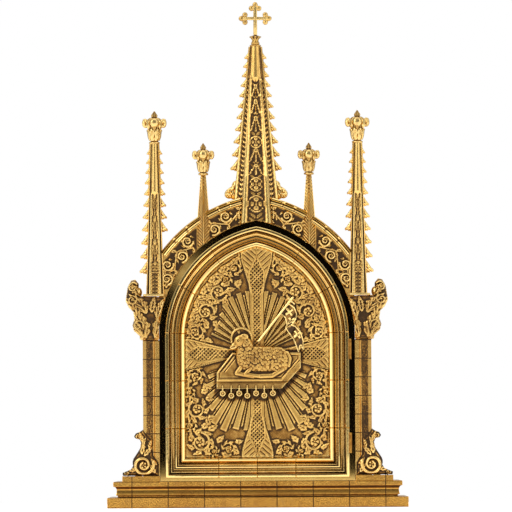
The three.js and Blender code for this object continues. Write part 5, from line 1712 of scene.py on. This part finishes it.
class TABERNACLE_OT_stage(bpy.types.Operator):
    """Set the pale floor, the studio light and the camera"""

    bl_idname = "tabernacle.stage"
    bl_label = "Stage"

    def execute(self, context):
        self.floor()
        self.light()
        self.world()
        self.camera()
        context.scene.view_settings.view_transform = "Standard"
        context.scene.view_settings.look = "None"
        context.scene.view_settings.exposure = 0.0
        return {"FINISHED"}

    def floor(self):
        bm = bmesh.new()
        place = Matrix.Translation((0, -6.6, 0)) @ Matrix.Diagonal((6.0, 7.6, 1, 1))
        bmesh.ops.create_grid(bm, x_segments=1, y_segments=1, size=1.0, matrix=place)
        mesh = bpy.data.meshes.new("floor")
        bm.to_mesh(mesh)
        bm.free()
        plane = bpy.data.objects.new("floor", mesh)
        bpy.context.scene.collection.objects.link(plane)
        material = bpy.data.materials.new("pale floor")
        shading = Shading(material)
        inputs = {
            "Base Color": (0.9, 0.9, 0.9, 1), "Roughness": 0.8, "Specular IOR Level": 0.1,
            "Emission Color": (1, 1, 1, 1), "Emission Strength": 0.6,
        }
        shading.end(shading.surface(inputs))
        mesh.materials.append(material)

    def light(self):
        lamps = (
            ("key", (-2.6, -2.4, 3.0), 1.6, 28.0), ("fill", (3.0, -2.0, 1.8), 1.6, 12.0),
            ("top", (0.0, -0.4, 3.6), 2.0, 10.0), ("rim_left", (-3.2, 1.0, 1.0), 1.4, 8.0),
            ("rim_right", (3.2, 1.0, 1.0), 1.4, 8.0),
        )
        for name, place, size, power in lamps:
            data = bpy.data.lights.new(name, "AREA")
            data.size = size
            data.energy = power
            lamp = bpy.data.objects.new(name, data)
            lamp.location = place
            aim = Vector((0, -0.1, 0.45)) - lamp.location
            lamp.rotation_euler = aim.to_track_quat("-Z", "Y").to_euler()
            bpy.context.scene.collection.objects.link(lamp)

    def world(self):
        world = bpy.data.worlds.new("studio")
        bpy.context.scene.world = world
        shading = Shading(world)
        direction = shading.node("ShaderNodeTexCoord", "Generated")
        across, along, upward = [shading.split(direction, axis) for axis in "XYZ"]
        front = ((0 - along) * 4).clamp()
        tall = ((upward + 0.3) * 4).clamp() * ((0.85 - upward) * 4).clamp()
        panels = ((0.26 - abs(abs(across) - 0.56)) * 7).clamp() * tall * front
        ceiling = ((upward - 0.4) * 3).clamp()
        room = 0.26 + panels * (1.6 - across * 0.5) + ceiling * 0.5 + (1 - front) * 0.35
        from_lens = across * across + upward * upward
        dark = ((0.016 - from_lens) * 150).clamp() * front
        glint_x = (across + 0.0097) / 0.0016
        glint_z = (upward - 0.0242) / 0.0016
        glint = (1.6 - glint_x * glint_x - glint_z * glint_z).clamp() * front
        room = room * (1 - dark * 0.985) + glint * 1.3
        grey = shading.node("ShaderNodeCombineColor", 0, None, {0: room, 1: room, 2: room * 0.97})
        seen = shading.node("ShaderNodeLightPath", "Is Camera Ray")
        lit = shading.node("ShaderNodeBackground", 0, None, {"Color": grey, "Strength": 1.0})
        plain = shading.node("ShaderNodeBackground", 0, None, {"Color": (1, 1, 1, 1), "Strength": 1.0})
        both = shading.node("ShaderNodeMixShader", 0, None, {0: seen, 1: lit, 2: plain})
        shading.end(both, "ShaderNodeOutputWorld")

    def camera(self):
        distance = bpy.context.scene.tabernacle.camera_distance
        data = bpy.data.cameras.new("camera")
        data.sensor_width = 36.0
        seen = 1.0207  # metres across the picture, at the front
        front = 0.176
        data.lens = data.sensor_width * (distance - front) / seen
        camera = bpy.data.objects.new("camera", data)
        camera.location = (-0.001, -distance, 0.12)
        aim = Vector((-0.001, -front, 0.5016)) - camera.location
        turn = aim.to_track_quat("-Z", "Y").to_matrix().to_4x4()
        roll = Matrix.Rotation(math.radians(-0.33), 4, "Z")
        camera.matrix_world = Matrix.Translation(camera.location) @ turn @ roll
        bpy.context.scene.collection.objects.link(camera)
        bpy.context.scene.camera = camera


class TABERNACLE_PT_pieces(bpy.types.Panel):
    """Settings, and a button for each piece"""

    bl_idname = "TABERNACLE_PT_pieces"
    bl_label = "Altar tabernacle"
    bl_space_type = "VIEW_3D"
    bl_region_type = "UI"
    bl_category = "Tabernacle"

    def draw(self, context):
        settings = context.scene.tabernacle
        for name in TabernacleSettings.__annotations__:
            self.layout.prop(settings, name)
        for operator in OPERATORS:
            self.layout.operator(operator.bl_idname)


OPERATORS = (
    TABERNACLE_OT_stage,
    TABERNACLE_OT_plain_work,
    TABERNACLE_OT_door_panel,
    TABERNACLE_OT_lamb,
    TABERNACLE_OT_banner,
    TABERNACLE_OT_door_frame,
    TABERNACLE_OT_gable,
    TABERNACLE_OT_spire,
    TABERNACLE_OT_pinnacles,
    TABERNACLE_OT_capitals,
)


def register():
    """Adds the settings, the operators and the panel."""
    bpy.utils.register_class(TabernacleSettings)
    for operator in OPERATORS:
        bpy.utils.register_class(operator)
    bpy.utils.register_class(TABERNACLE_PT_pieces)
    bpy.types.Scene.tabernacle = bpy.props.PointerProperty(type=TabernacleSettings)


def unregister():
    """Takes away what register adds."""
    del bpy.types.Scene.tabernacle
    bpy.utils.unregister_class(TABERNACLE_PT_pieces)
    for operator in reversed(OPERATORS):
        bpy.utils.unregister_class(operator)
    bpy.utils.unregister_class(TabernacleSettings)


def main():
    """Builds every piece."""
    register()
    for operator in OPERATORS:
        group, name = operator.bl_idname.split(".")
        getattr(getattr(bpy.ops, group), name)()
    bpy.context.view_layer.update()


if __name__ == "__main__":
    main()
